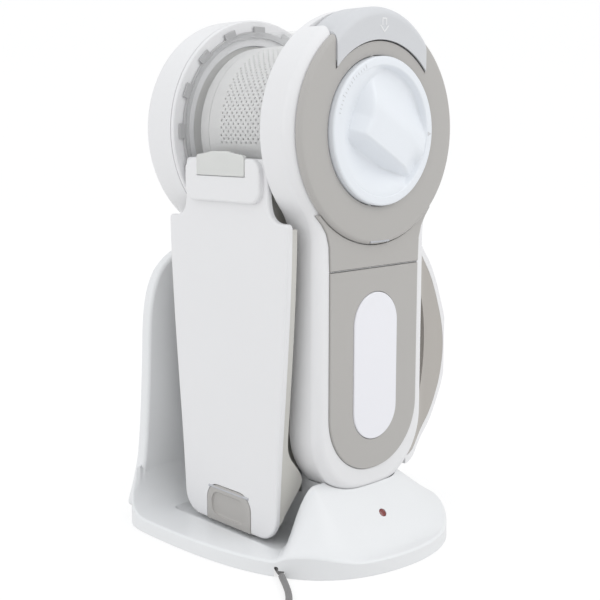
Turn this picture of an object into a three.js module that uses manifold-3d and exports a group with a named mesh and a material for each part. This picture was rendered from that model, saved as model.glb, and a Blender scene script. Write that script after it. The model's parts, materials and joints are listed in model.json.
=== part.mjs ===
// Handheld vacuum with a folding nozzle, standing in its charging stand.
// Millimetres, +Z up. The origin is on the stand's underside, straight below the nozzle pivot.
// The pivot runs along X. +X is the side with the filter-cleaning wheel and the stand's front,
// -Y is the side that the folded nozzle hangs on, and +Y is the side of the loop handle.

import * as THREE from 'three';
import { mergeVertices } from 'three/addons/utils/BufferGeometryUtils.js';
import Module from 'manifold-3d';

const wasm = await Module();
wasm.setup();

// ---------------------------------------------------------------- driving dimensions
const GAP = 0.3;              // clearance between separate pieces that touch
const WALL = 2.4;             // moulded wall thickness
const ARC_STEP = 15;          // degrees of arc per facet on outlines

const PIVOT_Z = 245;          // pivot axis above the table

const POD_R = 68;             // round ends of the two side arms
const POD_IN = 38;            // inner face of each arm, from the mid-plane
const POD_OUT = 62;           // outer face of each arm
const EDGE_ROUND = 10;        // rounding of the arms' outer edge
const ARM_HALF = 46.5;        // half depth of the arm below the pod
const ARM_BOTTOM = -213;      // arm's lowest point, from the pivot
const ARM_CORNER = 42;        // radius of the arm's bottom corners
const WAIST_R = 28;           // hollow curve between pod and arm
const CORE_FRONT = -12;       // battery section between the arms
const CORE_TOP = -70;
const CORE_BOTTOM = -206;

const RING_R = 64;            // side door ring
const RING_HOLE_R = 42.2;
const RING_FACE = 66;         // outer face of the ring
const GRILLE_R = 67;          // exhaust grille on the other pod
const GRILLE_FACE = 68.5;
const WHEEL_R = 41.3;         // filter-cleaning wheel
const WHEEL_FACE = 69;
const GRIP_FACE = 72;         // top of the wheel's grip bar
const GRIP_TILT = -29;        // degrees

const LATCH_LOW_R = 53;       // release latch on the pod's top
const LATCH_TOP_R = 68.8;
const LATCH_IN = 46;
const LATCH_HALF_ANGLE = 37;
const LATCH_TRAVEL = 2.5;

const BOWL_R = 60;            // clear dust bowl
const BOWL_HALF = 36;
const SCREEN_R = 51;          // perforated screen inside the bowl
const FILTER_R = 40;
const MOTOR_R = 17;
const FAN_R = 44;

const PLATE_Y = -60.5;        // front of the folded nozzle's cover
const COVER_THICK = 3.2;
const NOZZLE_TIP = -236;
const SHOULDER_Z = -50;
const NECK_TOP = -15;
const TIP_FRONT = -62;

const BOW_REACH = 118;        // handle bow's outermost point in Y
const BOW_LOW = 210;
const SPINE_THICK = 5;

const CORD_D = 3.8;
const COIL_MEAN_R = 22;
const COIL_TURNS_WIDE = 3;
const COIL_LAYERS = 4;
const COIL_CENTRE = [136, -133];
const TIE_ANGLE = 60;         // degrees about Z
const ADAPTER_SIZE = [46, 34, 23];
const ADAPTER_CENTRE = [182.7, -112];
const ADAPTER_TURN = 90;      // degrees about Z

// ---------------------------------------------------------------- colours and finishes
const FINISH = {
  shell_white: { color: 0xe9e9ea, roughness: 0.32, metalness: 0 },
  stand_white: { color: 0xeceeef, roughness: 0.3, metalness: 0 },
  soft_grey: { color: 0xb9b7b3, roughness: 0.62, metalness: 0 },
  duct_grey: { color: 0xc3c1bb, roughness: 0.5, metalness: 0 },
  wheel_white: { color: 0xe9edf0, roughness: 0.35, metalness: 0 },
  latch_grey: { color: 0xd8d9db, roughness: 0.4, metalness: 0 },
  badge_white: { color: 0xeeeef2, roughness: 0.25, metalness: 0 },
  clear: { color: 0xe2e4e6, roughness: 0.1, metalness: 0, transparent: true, opacity: 0.4 },
  screen_white: { color: 0xdad9d7, roughness: 0.5, metalness: 0 },
  filter_paper: { color: 0xe6e2d6, roughness: 0.9, metalness: 0 },
  rubber_dark: { color: 0x3c3c3e, roughness: 0.8, metalness: 0 },
  steel: { color: 0xb4b6ba, roughness: 0.3, metalness: 1 },
  brass: { color: 0xc9a35a, roughness: 0.3, metalness: 1 },
  cell_wrap: { color: 0x2f6a9c, roughness: 0.4, metalness: 0 },
  board_green: { color: 0x2c6b45, roughness: 0.5, metalness: 0 },
  lamp_red: { color: 0x8e1a10, roughness: 0.2, metalness: 0 },
  cord_grey: { color: 0x8b8989, roughness: 0.55, metalness: 0 },
  adapter_grey: { color: 0x6d6d70, roughness: 0.5, metalness: 0 },
};
const materials = {};
for (const [name, values] of Object.entries(FINISH)) {
  materials[name] = new THREE.MeshStandardMaterial({ name, ...values });
}

// ---------------------------------------------------------------- solid and outline helpers
function toSolid(geometry) {
  const bare = geometry.clone();
  bare.deleteAttribute('normal');
  bare.deleteAttribute('uv');
  const merged = mergeVertices(bare, 1e-4);
  const vertProperties = new Float32Array(merged.attributes.position.array);
  const triVerts = new Uint32Array(merged.index.array);
  return new wasm.Manifold(new wasm.Mesh({ numProp: 3, vertProperties, triVerts }));
}

function toGeometry(solid) {
  const mesh = solid.getMesh();
  const geometry = new THREE.BufferGeometry();
  geometry.setAttribute('position', new THREE.BufferAttribute(new Float32Array(mesh.vertProperties), 3));
  geometry.setIndex(new THREE.BufferAttribute(new Uint32Array(mesh.triVerts), 1));
  geometry.computeVertexNormals();
  return geometry;
}

const rad = THREE.MathUtils.degToRad;
const ACROSS_X = new THREE.Matrix4().makeBasis(
  new THREE.Vector3(0, 1, 0), new THREE.Vector3(0, 0, 1), new THREE.Vector3(1, 0, 0));
const TOWARDS_FRONT = new THREE.Matrix4().makeBasis(
  new THREE.Vector3(1, 0, 0), new THREE.Vector3(0, 0, 1), new THREE.Vector3(0, -1, 0));

function prism(shape, length, round = 0, roundSteps = 3) {
  const options = { depth: length - 2 * round, steps: 1, curveSegments: 8, bevelEnabled: round > 0 };
  if (round > 0) {
    Object.assign(options, {
      bevelThickness: round, bevelSize: round, bevelOffset: -round, bevelSegments: roundSteps });
  }
  return new THREE.ExtrudeGeometry(shape, options).translate(0, 0, round);
}

// An outline drawn in (Y, Z), drawn out along X from low to high.
function alongX(shape, low, high, round = 0, roundSteps = 3) {
  return toSolid(prism(shape, high - low, round, roundSteps).applyMatrix4(ACROSS_X).translate(low, 0, 0));
}

// An outline drawn in (X, Z), drawn out along Y from low to high.
function alongY(shape, low, high, round = 0, roundSteps = 3) {
  return toSolid(prism(shape, high - low, round, roundSteps).applyMatrix4(TOWARDS_FRONT).translate(0, high, 0));
}

// An outline drawn in (X, Y), drawn out along Z from low to high.
function alongZ(shape, low, high, round = 0, roundSteps = 3) {
  return toSolid(prism(shape, high - low, round, roundSteps).translate(0, 0, low));
}

function box(x, y, z) {
  const size = [x[1] - x[0], y[1] - y[0], z[1] - z[0]];
  const geometry = new THREE.BoxGeometry(...size);
  return toSolid(geometry.translate((x[0] + x[1]) / 2, (y[0] + y[1]) / 2, (z[0] + z[1]) / 2));
}

function rodX(radius, low, high, facets = 32) {
  const geometry = new THREE.CylinderGeometry(radius, radius, high - low, facets);
  return toSolid(geometry.rotateZ(Math.PI / 2).translate((low + high) / 2, 0, 0));
}

function rodZ(radius, low, high, facets = 20, topRadius = radius) {
  const geometry = new THREE.CylinderGeometry(topRadius, radius, high - low, facets);
  return toSolid(geometry.rotateX(Math.PI / 2).translate(0, 0, (low + high) / 2));
}

function tubeX(outer, inner, low, high, facets = 40) {
  return rodX(outer, low, high, facets).subtract(rodX(inner, low - 1, high + 1, facets));
}

function arc(cx, cy, radius, from, to) {
  const steps = Math.max(2, Math.ceil(Math.abs(to - from) / ARC_STEP));
  const points = [];
  for (let i = 0; i <= steps; i++) {
    const a = rad(from + ((to - from) * i) / steps);
    points.push(new THREE.Vector2(cx + radius * Math.cos(a), cy + radius * Math.sin(a)));
  }
  return points;
}

function outline(points) {
  const kept = points.filter((p, i) => i === 0 || p.distanceTo(points[i - 1]) > 0.05);
  return new THREE.Shape(kept);
}

function roundedBox(low, high, radius) {
  return outline([
    ...arc(high[0] - radius, low[1] + radius, radius, 270, 360),
    ...arc(high[0] - radius, high[1] - radius, radius, 0, 90),
    ...arc(low[0] + radius, high[1] - radius, radius, 90, 180),
    ...arc(low[0] + radius, low[1] + radius, radius, 180, 270),
  ]);
}

function curvePoints(start, c1, c2, end, steps) {
  const v = (p) => new THREE.Vector2(p[0], p[1]);
  return new THREE.CubicBezierCurve(v(start), v(c1), v(c2), v(end)).getPoints(steps);
}

function offsetPath(points, distance) {
  return points.map((p, i) => {
    const before = points[Math.max(0, i - 1)];
    const after = points[Math.min(points.length - 1, i + 1)];
    const along = after.clone().sub(before).normalize();
    return new THREE.Vector2(p.x - along.y * distance, p.y + along.x * distance);
  });
}

const smooth = (t) => {
  const c = THREE.MathUtils.clamp(t, 0, 1);
  return c * c * (3 - 2 * c);
};

// ---------------------------------------------------------------- scene graph
const assembly = new THREE.Group();
const vacuum = new THREE.Group();
vacuum.position.z = PIVOT_Z;
assembly.add(vacuum);

function place(group, name, solid, finish) {
  const mesh = new THREE.Mesh(toGeometry(solid), materials[finish]);
  mesh.name = name;
  group.add(mesh);
  return mesh;
}

// ---------------------------------------------------------------- side arms
function keyhole(inset) {
  const r = POD_R - inset;
  const half = ARM_HALF - inset;
  const waist = WAIST_R + inset;
  const corner = ARM_CORNER - inset;
  const bottom = ARM_BOTTOM + inset;
  const cy = half + waist;
  const cz = -Math.sqrt((r + waist) ** 2 - cy ** 2);
  const lean = THREE.MathUtils.radToDeg(Math.atan2(-cz, cy));
  return outline([
    ...arc(half - corner, bottom + corner, corner, 270, 360),
    ...arc(cy, cz, waist, 180, 180 - lean),
    ...arc(0, 0, r, -lean, 180 + lean),
    ...arc(-cy, cz, waist, lean, 0),
    ...arc(-half + corner, bottom + corner, corner, 180, 270),
  ]);
}

// The arm's solid form, grown by spread, on the side given by sign.
function armForm(sign, spread = 0) {
  const full = 2 * (POD_OUT - POD_IN);
  const body = alongX(keyhole(-spread), POD_OUT + spread - full, POD_OUT + spread, EDGE_ROUND, 3);
  const trimmed = body.subtract(box([-40, POD_IN - spread], [-90, 90], [-230, 90]));
  return sign > 0 ? trimmed : trimmed.mirror([1, 0, 0]);
}

function coreForm(spread = 0) {
  const low = [CORE_FRONT - spread, CORE_BOTTOM - spread];
  const high = [ARM_HALF + spread, CORE_TOP + spread];
  return alongX(roundedBox(low, high, 10), -POD_IN - 4, POD_IN + 4);
}

function armCavity(sign) {
  const inner = alongX(keyhole(WALL), POD_IN + WALL, POD_OUT - WALL - 1, 7, 2);
  return sign > 0 ? inner : inner.mirror([1, 0, 0]);
}

function panelOutline(inset) {
  const half = 37.5 - inset;
  const low = -198 + inset;
  const top = -78 - inset;
  const corner = 36 - inset;
  return outline([
    ...arc(half - corner, low + corner, corner, 270, 360),
    new THREE.Vector2(half, top),
    new THREE.Vector2(-half, top),
    ...arc(-half + corner, low + corner, corner, 180, 270),
  ]);
}

// Grey field between the disc on the pod and the lower panel's seam, following the waist.
function upperPanelForm(spread, discRadius) {
  const low = -77 - spread;
  const field = outline([[37.5, low], [38, -62], [42, -52], [48, -44], [-48, -44], [-42, -52], [-38, -62],
    [-37.5, low]].map(([y, z]) => new THREE.Vector2(y + Math.sign(y) * spread, z)));
  return alongX(field, POD_OUT - 1.3, POD_OUT + 1.2).subtract(rodX(discRadius + 0.6 - spread, 50, 70, 48));
}

function badgeOutline(inset) {
  return outline([
    ...arc(0, -161.5, 18.5 - inset, 180, 360),
    ...arc(0, -110.5, 18.5 - inset, 0, 180),
  ]);
}

function latchSector(spread) {
  const low = LATCH_LOW_R - spread;
  const high = LATCH_TOP_R + spread;
  const side = THREE.MathUtils.radToDeg(spread / LATCH_LOW_R);
  const from = 90 - LATCH_HALF_ANGLE - side;
  const to = 90 + LATCH_HALF_ANGLE + side;
  return outline([...arc(0, 0, high, from, to), ...arc(0, 0, low, to, from)]);
}

const latchForm = alongX(latchSector(0), LATCH_IN, RING_FACE + 0.6)
  .intersect(alongX(outline(arc(0, 0, LATCH_TOP_R, 0, 345)), 20, RING_FACE + 0.6, 8, 3));
const latchPocket = alongX(latchSector(LATCH_TRAVEL + 2 * GAP), LATCH_IN - 1, RING_FACE + 2);
const core = coreForm();
const coreCavity = alongX(
  roundedBox([CORE_FRONT + WALL, CORE_BOTTOM + WALL], [ARM_HALF - WALL, CORE_TOP - WALL], 8),
  -POD_IN - 3, POD_IN + 3);

function housing(sign) {
  const half = (low, high) => (sign > 0 ? [low, high] : [-high, -low]);
  let shell = armForm(sign).add(core.intersect(box(half(GAP / 2, 60), [-60, 60], [-220, -60])));
  shell = shell.subtract(armCavity(sign)).subtract(coreCavity);
  shell = shell.subtract(rodX(52.5, ...half(POD_IN - 2, POD_IN + 6)));
  const upper = upperPanelForm(GAP, sign > 0 ? RING_R : GRILLE_R);
  const recess = alongX(panelOutline(-GAP), POD_OUT - 1.6, POD_OUT + 2)
    .add(upper.translate([-GAP, 0, 0])).add(upper);
  return shell.subtract(sign > 0 ? recess : recess.mirror([1, 0, 0]));
}

const doorway = rodX(56, POD_OUT - 6, POD_OUT + 2, 36);
const hingeRelief = box([POD_OUT - 0.7, POD_OUT + 2], [-18, 18], [-65.2, -60]);
const shelfSector = (low, high) => outline([...arc(0, 0, high, 70, 110), ...arc(0, 0, low, 110, 70)]);
const latchShelf = alongX(shelfSector(46.6, 48.6), POD_IN + 0.5, POD_OUT - 7)
  .add(alongX(shelfSector(46.6, 54), POD_IN + 0.5, POD_IN + WALL));
const rightHousing = housing(1).subtract(doorway).subtract(latchPocket).subtract(hingeRelief).add(latchShelf);
place(vacuum, 'right_housing', rightHousing, 'shell_white');
place(vacuum, 'left_housing', housing(-1).subtract(rodX(50, -POD_OUT - 2, -POD_OUT + 6, 36)), 'shell_white');

for (const [side, sign] of [['right', 1], ['left', -1]]) {
  const at = (low, high) => (sign > 0 ? [low, high] : [-high, -low]);
  const panel = alongX(panelOutline(0), ...at(POD_OUT - 1.3, POD_OUT + 1.2));
  const seat = alongX(badgeOutline(-GAP), ...at(POD_OUT - 0.2, POD_OUT + 3));
  place(vacuum, `${side}_grip_panel`, panel.subtract(seat), 'soft_grey');
  const upper = upperPanelForm(0, sign > 0 ? RING_R : GRILLE_R);
  place(vacuum, `${side}_upper_panel`, sign > 0 ? upper : upper.mirror([1, 0, 0]), 'soft_grey');
  place(vacuum, `${side}_badge`, alongX(badgeOutline(0), ...at(POD_OUT + 0.1, POD_OUT + 1.9)), 'badge_white');
}

// ---------------------------------------------------------------- side door, cleaning wheel and latch
const doorRing = tubeX(RING_R, RING_HOLE_R, POD_OUT + GAP, RING_FACE, 48).subtract(latchPocket);
const doorHub = tubeX(RING_HOLE_R + 3, RING_HOLE_R, POD_OUT - 4, POD_OUT + 2, 36);
const doorSpider = box([POD_OUT - 4, POD_OUT - 2], [-43, 43], [-5, 5]).subtract(rodX(7.5, 50, 70, 20));

function hingeRod(radius, length) {
  return toSolid(new THREE.CylinderGeometry(radius, radius, length, 10)
    .translate(RING_FACE - 1, 0, -RING_R + 1.8));
}

const doorBody = doorRing.add(doorHub).add(doorSpider).subtract(hingeRod(1.15, 17));
place(vacuum, 'door_ring', doorBody, 'soft_grey');
place(vacuum, 'door_hinge_pin', hingeRod(0.9, 16), 'steel');

function wheelSolid() {
  const tilt = rad(GRIP_TILT);
  const cup = rodX(WHEEL_R, POD_OUT - 1.5, WHEEL_FACE, 48);
  const bar = toSolid(new THREE.BoxGeometry(GRIP_FACE - WHEEL_FACE + 2, 62, 17)
    .translate((GRIP_FACE + WHEEL_FACE - 2) / 2, 0, 0).rotateX(tilt));
  const scoops = [-1, 1].map((side) => toSolid(new THREE.CylinderGeometry(18, 18, 90, 24)
    .scale(0.36, 1, 1).translate(GRIP_FACE - 1.4, 0, side * 27).rotateX(tilt))
    .intersect(rodX(36, 50, 90, 40)));
  const cap = cup.add(bar.intersect(rodX(WHEEL_R - 3, 50, 90, 40)));
  return cap.subtract(scoops[0]).subtract(scoops[1]);
}

place(vacuum, 'cleaning_wheel', wheelSolid(), 'wheel_white');
const dog = rodX(6.8, 42, POD_OUT - 1.8, 20).add(box([32, 43], [-4, 4], [-1.6, 1.6]));
place(vacuum, 'wheel_drive_dog', dog, 'duct_grey');
place(vacuum, 'release_latch', latchForm, 'latch_grey');
const springShape = outline([...arc(0, 0, 49.6, 80, 100), ...arc(0, 0, 49.1, 100, 80)]);
place(vacuum, 'latch_spring', alongX(springShape, 47.5, 53.5), 'steel');

// ---------------------------------------------------------------- loop handle
const bowOuter = [
  new THREE.Vector2(ARM_HALF + GAP, -62),
  ...curvePoints([84, -71], [105, -75.2], [BOW_REACH, -104], [BOW_REACH, -136], 10),
  ...curvePoints([BOW_REACH, -136], [BOW_REACH, -180], [94, -209], [62, -BOW_LOW], 10).slice(1),
  new THREE.Vector2(ARM_HALF + GAP, -BOW_LOW),
];
const bowInner = [
  new THREE.Vector2(ARM_HALF + GAP, -187),
  ...curvePoints([54, -187], [76, -187], [88, -165], [88, -138], 8),
  ...curvePoints([88, -138], [88, -112], [76, -93], [54, -91], 8).slice(1),
  new THREE.Vector2(ARM_HALF + GAP, -91),
];

function flareOutline() {
  const side = new THREE.SplineCurve([[48, 40], [47.5, 47], [43, 56], [35, 68], [28, 84], [24, 100], [19, 118]]
    .map(([x, y]) => new THREE.Vector2(x, y))).getPoints(16);
  const tip = new THREE.Vector2(0, BOW_REACH + 3);
  const mirrored = side.map((p) => new THREE.Vector2(-p.x, p.y)).reverse();
  return outline([...side, tip, ...mirrored]);
}

const flare = alongZ(flareOutline(), -225, -50);
const clampRoot = (p) => new THREE.Vector2(Math.max(p.x, ARM_HALF + GAP), p.y);
const spineInner = offsetPath(bowOuter, -SPINE_THICK).map(clampRoot);
const gripOuter = offsetPath(bowOuter, -SPINE_THICK - GAP).map(clampRoot);
const SWITCH_SLOPE = Math.atan2(-9, 84 - ARM_HALF - GAP);
const SWITCH_AT = [0, 66, -66.7];

function onBowTop(geometry) {
  return toSolid(geometry.rotateX(SWITCH_SLOPE).translate(...SWITCH_AT));
}

const spine = alongX(outline([...bowOuter, ...spineInner.reverse()]), -58, 58).intersect(flare);
const switchSlot = onBowTop(new THREE.BoxGeometry(13, 30, 5));
place(vacuum, 'handle_spine', spine.subtract(switchSlot), 'shell_white');
const grip = alongX(outline([...gripOuter, ...bowInner]), -57, 57).intersect(flare);
place(vacuum, 'handle_grip', grip, 'soft_grey');
const switchCap = onBowTop(new THREE.BoxGeometry(11.6, 18, 4.6).translate(0, -5, 0.3))
  .add(onBowTop(new THREE.CylinderGeometry(2.2, 2.2, 11.6, 12).rotateZ(Math.PI / 2).translate(0, -5, 2.4)));
place(vacuum, 'power_switch', switchCap, 'latch_grey');

// ---------------------------------------------------------------- power train and battery in the body
const motorPlate = rodX(52, -POD_IN - 5, -POD_IN - 2.6, 36).subtract(rodX(3, -60, -30, 16));
const airHoles = [];
for (let i = 0; i < 8; i++) {
  const a = (i / 8) * Math.PI * 2;
  const hole = toSolid(new THREE.CylinderGeometry(6, 6, 10, 12).rotateZ(Math.PI / 2)
    .translate(-POD_IN - 4, 30 * Math.cos(a), 30 * Math.sin(a)));
  airHoles.push(hole);
}
place(vacuum, 'motor_plate', airHoles.reduce((rest, hole) => rest.subtract(hole), motorPlate), 'duct_grey');
place(vacuum, 'motor', tubeX(MOTOR_R, 2.6, -POD_IN - 2.3, -8, 28), 'steel');
place(vacuum, 'motor_shaft', rodX(2, -57.5, -4, 12), 'steel');

function fanSolid() {
  const low = -POD_OUT + 6;
  let fan = rodX(FAN_R, low, low + 2, 32).add(rodX(8, low, low + 9.5, 20));
  for (let i = 0; i < 9; i++) {
    const blade = new THREE.BoxGeometry(7, 33, 1.6).translate(low + 5.3, 24, 6)
      .rotateX((i / 9) * Math.PI * 2);
    fan = fan.add(toSolid(blade));
  }
  return fan.intersect(rodX(FAN_R, -70, 0, 32)).subtract(rodX(2 + GAP, -70, 0, 12));
}

place(vacuum, 'fan', fanSolid(), 'duct_grey');

function ventCap() {
  let cap = alongX(outline(arc(0, 0, GRILLE_R, 0, 345)), -GRILLE_FACE, -POD_OUT - GAP, 2.5, 2)
    .add(rodX(49.6, -POD_OUT - 1, -POD_OUT + 2, 36));
  for (let i = -5; i <= 5; i++) {
    const z = i * 7;
    const half = Math.sqrt(40 ** 2 - z ** 2);
    cap = cap.subtract(box([-70, -50], [-half, half], [z - 1.8, z + 1.8]));
  }
  return cap;
}

place(vacuum, 'exhaust_grille', ventCap(), 'soft_grey');

for (const [name, x] of [['battery_pack_left', -12.2], ['battery_pack_right', 12.2]]) {
  const cells = [];
  for (let i = 0; i < 5; i++) {
    cells.push(toSolid(new THREE.CylinderGeometry(11.6, 11.6, 43, 20).translate(x, 17, -185 + i * 23)));
  }
  place(vacuum, name, cells.reduce((pack, cell) => pack.add(cell)), 'cell_wrap');
}
place(vacuum, 'charge_board', box([47, 48.6], [-28, 28], [-182, -96]), 'board_green');
for (const [name, x] of [['charge_terminal_left', -12], ['charge_terminal_right', 12]]) {
  const terminal = box([x - 4, x + 4], [14, 26], [CORE_BOTTOM + WALL + GAP, CORE_BOTTOM + WALL + 2]);
  place(vacuum, name, terminal, 'brass');
}

// ---------------------------------------------------------------- dust bowl, screen and filter
function neckPassage(spread) {
  return box([-26 - spread, 26 + spread], [-59, -30], [-46 - spread, -22 + spread]);
}

const bowl = tubeX(BOWL_R, BOWL_R - 2, -BOWL_HALF, BOWL_HALF, 48).subtract(neckPassage(0));
place(vacuum, 'dust_bowl', bowl, 'clear');

function endRing() {
  let ring = tubeX(BOWL_R + 1, 53, -POD_IN + GAP, -BOWL_HALF - GAP, 48);
  for (let i = 0; i < 12; i++) {
    const tab = new THREE.BoxGeometry(1.2, 9, 4).translate(-POD_IN + 0.95, 0, 62).rotateX((i / 12) * Math.PI * 2);
    ring = ring.add(toSolid(tab));
  }
  return ring;
}

place(vacuum, 'bowl_end_ring', endRing(), 'latch_grey');
place(vacuum, 'bowl_seal', tubeX(58, 53.5, BOWL_HALF + GAP, POD_IN - GAP, 40), 'rubber_dark');
place(vacuum, 'prefilter_screen', tubeX(SCREEN_R, SCREEN_R - 1.6, -34, 34, 44), 'screen_white');

function pleatedFilter() {
  const pleats = 22;
  const points = [];
  for (let i = 0; i < pleats * 2; i++) {
    const r = i % 2 ? FILTER_R - 7 : FILTER_R;
    const a = (i / pleats) * Math.PI;
    points.push(new THREE.Vector2(r * Math.cos(a), r * Math.sin(a)));
  }
  const pleatedWall = alongX(new THREE.Shape(points), -32, 30).subtract(rodX(27, -33, 31, 28));
  const endCap = rodX(FILTER_R + 1, 29, 33, 32).subtract(box([30, 35], [-4.6, 4.6], [-2.2, 2.2]));
  return pleatedWall.add(endCap);
}

place(vacuum, 'pleated_filter', pleatedFilter(), 'filter_paper');

// ---------------------------------------------------------------- folded nozzle
function nozzleOutline(inset) {
  const half = [
    [36, NECK_TOP - 2 - inset], [36.5, -38], [38.5, -45], [43, -49], [51, SHOULDER_Z],
    [53, SHOULDER_Z - 2.5], [52.4, -70], [51, -100], [48.4, -138], [45.6, -170], [43.6, -195],
    [42, -215], [39.5, -226], [34, -233], [26, NOZZLE_TIP + 0.6], [0, NOZZLE_TIP],
  ].map(([x, z]) => [Math.max(0, x - inset), Math.max(z, NOZZLE_TIP + inset)]);
  const right = half.map(([x, z]) => new THREE.Vector2(x, z));
  const left = half.slice(0, -1).reverse().map(([x, z]) => new THREE.Vector2(-x, z));
  const top = [new THREE.Vector2(-33, NECK_TOP - inset), new THREE.Vector2(33, NECK_TOP - inset)];
  return outline([...right, ...left, ...top].reverse());
}

function flapOutline(spread) {
  return outline([
    new THREE.Vector2(20 + spread, NOZZLE_TIP - spread),
    ...arc(10, -223, 10 + spread, 0, 90),
    ...arc(-10, -223, 10 + spread, 90, 180),
    new THREE.Vector2(-20 - spread, NOZZLE_TIP - spread),
  ]);
}

const coverPlate = alongY(nozzleOutline(0), PLATE_Y, PLATE_Y + COVER_THICK);
const neckPad = alongY(roundedBox([-33, -40], [33, NECK_TOP], 7), -64, PLATE_Y + 1, 1.5, 2);
const windowSeat = box([-21.3, 21.3], [-70, -62], [-25.3, 0]);
const flapSeat = alongY(flapOutline(0.5), -70, PLATE_Y + COVER_THICK - 0.8);
const tipPad = alongY(roundedBox([-33, NOZZLE_TIP], [33, -204], 4), TIP_FRONT, PLATE_Y + 1, 1, 1);
const bowlClearance = rodX(BOWL_R + GAP, -50, 50, 48);
const FLAP_AXIS = [0, -60.1, -214.7];
const flapBore = rodX(1.25, -18.6, 18.6, 12).translate(FLAP_AXIS);
const flapSwing = rodX(2.9, -20.6, 20.6, 24).translate(FLAP_AXIS)
  .add(box([-20.6, 20.6], [-70, FLAP_AXIS[1]], [FLAP_AXIS[2], FLAP_AXIS[2] + 3]));
const coverBlank = coverPlate.add(neckPad).add(tipPad);
const coverCuts = windowSeat.add(flapSeat).add(bowlClearance).add(flapBore).add(flapSwing);
place(vacuum, 'nozzle_cover', coverBlank.subtract(coverCuts), 'shell_white');
place(vacuum, 'neck_window', box([-21, 21], [-64.6, -62 - GAP], [-25, -11]), 'clear');

const DUCT_FRONT = PLATE_Y + COVER_THICK + GAP;
const WIDE_BACK = -52.5;
function ductSolid() {
  const body = outline([[DUCT_FRONT, -53], [DUCT_FRONT, -230], [-52, -221], [-38, -204], [-39, -200],
    [-46, -191], [WIDE_BACK, -178], [WIDE_BACK, -53]].map(([y, z]) => new THREE.Vector2(y, z)));
  const front = alongY(nozzleOutline(1.2), -70, -20);
  const wide = alongX(body, -54, 54).intersect(front);
  const channel = alongX(roundedBox([DUCT_FRONT, -200], [-24, -22], 5), -30, 30);
  const outside = wide.add(channel).subtract(bowlClearance);
  const passage = box([-27.6, 27.6], [DUCT_FRONT + 2.2, -26.4], [-214, -24]);
  const mouth = box([-38, 38], [DUCT_FRONT + 2.2, -30], [-240, -206]);
  const funnel = box([-34, 34], [DUCT_FRONT + 2.2, -40], [-214, -192]);
  return outside.subtract(passage).subtract(mouth).subtract(funnel);
}
place(vacuum, 'nozzle_duct', ductSolid(), 'duct_grey');

const flapBody = alongY(flapOutline(0), TIP_FRONT, -58.4).subtract(
  alongY(roundedBox([-15, -232], [15, -217.5], 4), -70, TIP_FRONT + 1.4));
place(vacuum, 'tip_flap', flapBody.subtract(flapBore), 'soft_grey');
place(vacuum, 'tip_flap_pin', rodX(0.95, -18.3, 18.3, 12).translate(FLAP_AXIS), 'steel');

// ---------------------------------------------------------------- charging stand
const RIM_H = 9;
const MOUND = 37;             // cradle's rise above the rim
const BACKREST_IN = -71;
const BACKREST_OUT = -80;
const STAND_FRONT = 102;

function standOutline(inset) {
  const cordSide = [
    ...curvePoints([BACKREST_OUT, -61], [BACKREST_OUT, -73], [-68, -89], [-45, -91.5], 5),
    ...curvePoints([-45, -91.5], [48, -93], [100, -78], [STAND_FRONT, -5], 10).slice(1),
  ];
  const handleSide = [
    ...curvePoints([STAND_FRONT, -5], [STAND_FRONT, 60], [38, 79], [-45, 81.5], 10).slice(1),
    ...curvePoints([-45, 81.5], [-68, 82], [BACKREST_OUT, 82], [BACKREST_OUT, 70], 5).slice(1),
  ];
  const whole = [...cordSide, ...handleSide];
  const centre = new THREE.Vector2(10, -5);
  return outline(whole.map((p) => {
    const out = p.clone().sub(centre);
    return centre.clone().add(out.multiplyScalar(1 - inset / out.length()));
  }));
}

function standHeight(x, y) {
  const ahead = 1 - smooth((x - 46) / 50);
  const apron = 16 + 26 * smooth((x - 44) / 22);
  const front = 1 - smooth((-y - 42) / apron);
  const rear = 1 - smooth((y - 10) / 73);
  const towardsBackrest = 16 * THREE.MathUtils.clamp((-46 - x) / 25, 0, 1) ** 2;
  return RIM_H + MOUND * ahead * front * rear + towardsBackrest * front * rear;
}

function standMound() {
  const wide = 200;
  const deep = 210;
  const geometry = new THREE.BoxGeometry(wide, deep, 2, 20, 22, 1).translate(10, 0, 1);
  const position = geometry.attributes.position;
  for (let i = 0; i < position.count; i++) {
    if (position.getZ(i) > 1) {
      position.setZ(i, standHeight(position.getX(i), position.getY(i)));
    }
  }
  return toSolid(geometry);
}

function backrestOutline() {
  const half = [[79, RIM_H - 4], [77.5, 30], [74.5, 50], [72, 76], [69.5, 105], [66.5, 126], [61.5, 146],
    [53, 160.5], [44, 168], [32, 172.5], [0, 175]].map(([y, z]) => new THREE.Vector2(y, z));
  const side = new THREE.SplineCurve(half).getPoints(22);
  const mirrored = side.slice(0, -1).reverse().map((p) => new THREE.Vector2(-p.x, p.y));
  return outline([...side, ...mirrored]);
}

// Everything of the vacuum that the cradle has to let in from above, grown by the clearance.
function cradleClearance() {
  const spread = 0.5;
  const panel = alongX(panelOutline(-spread), POD_OUT - 1, POD_OUT + 2);
  const lowered = [armForm(1, spread), armForm(-1, spread), coreForm(spread), panel, panel.mirror([1, 0, 0])];
  const rootBlock = box([-59, 59], [ARM_HALF - 2, 78], [-213.1, -150]);
  const pocket = alongY(outline([[-49.5, -238.6], [49.5, -238.6], [56, -190], [-56, -190]]
    .map(([x, z]) => new THREE.Vector2(x, z))), -66, -30);
  const channel = box([-32, 32], [-66, -14], [-214, -150]);
  const all = [...lowered, rootBlock, pocket, channel].reduce((sum, piece) => sum.add(piece));
  return all.translate([0, 0, PIVOT_Z]);
}

const EXIT = new THREE.Vector3(67, -78.5, CORD_D / 2 + 0.1);   // cord leaves the rim here
const EXIT_DIRECTION = new THREE.Vector3(0.84, -0.54, 0).normalize();
const exitTurn = Math.atan2(EXIT_DIRECTION.y, EXIT_DIRECTION.x);

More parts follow.
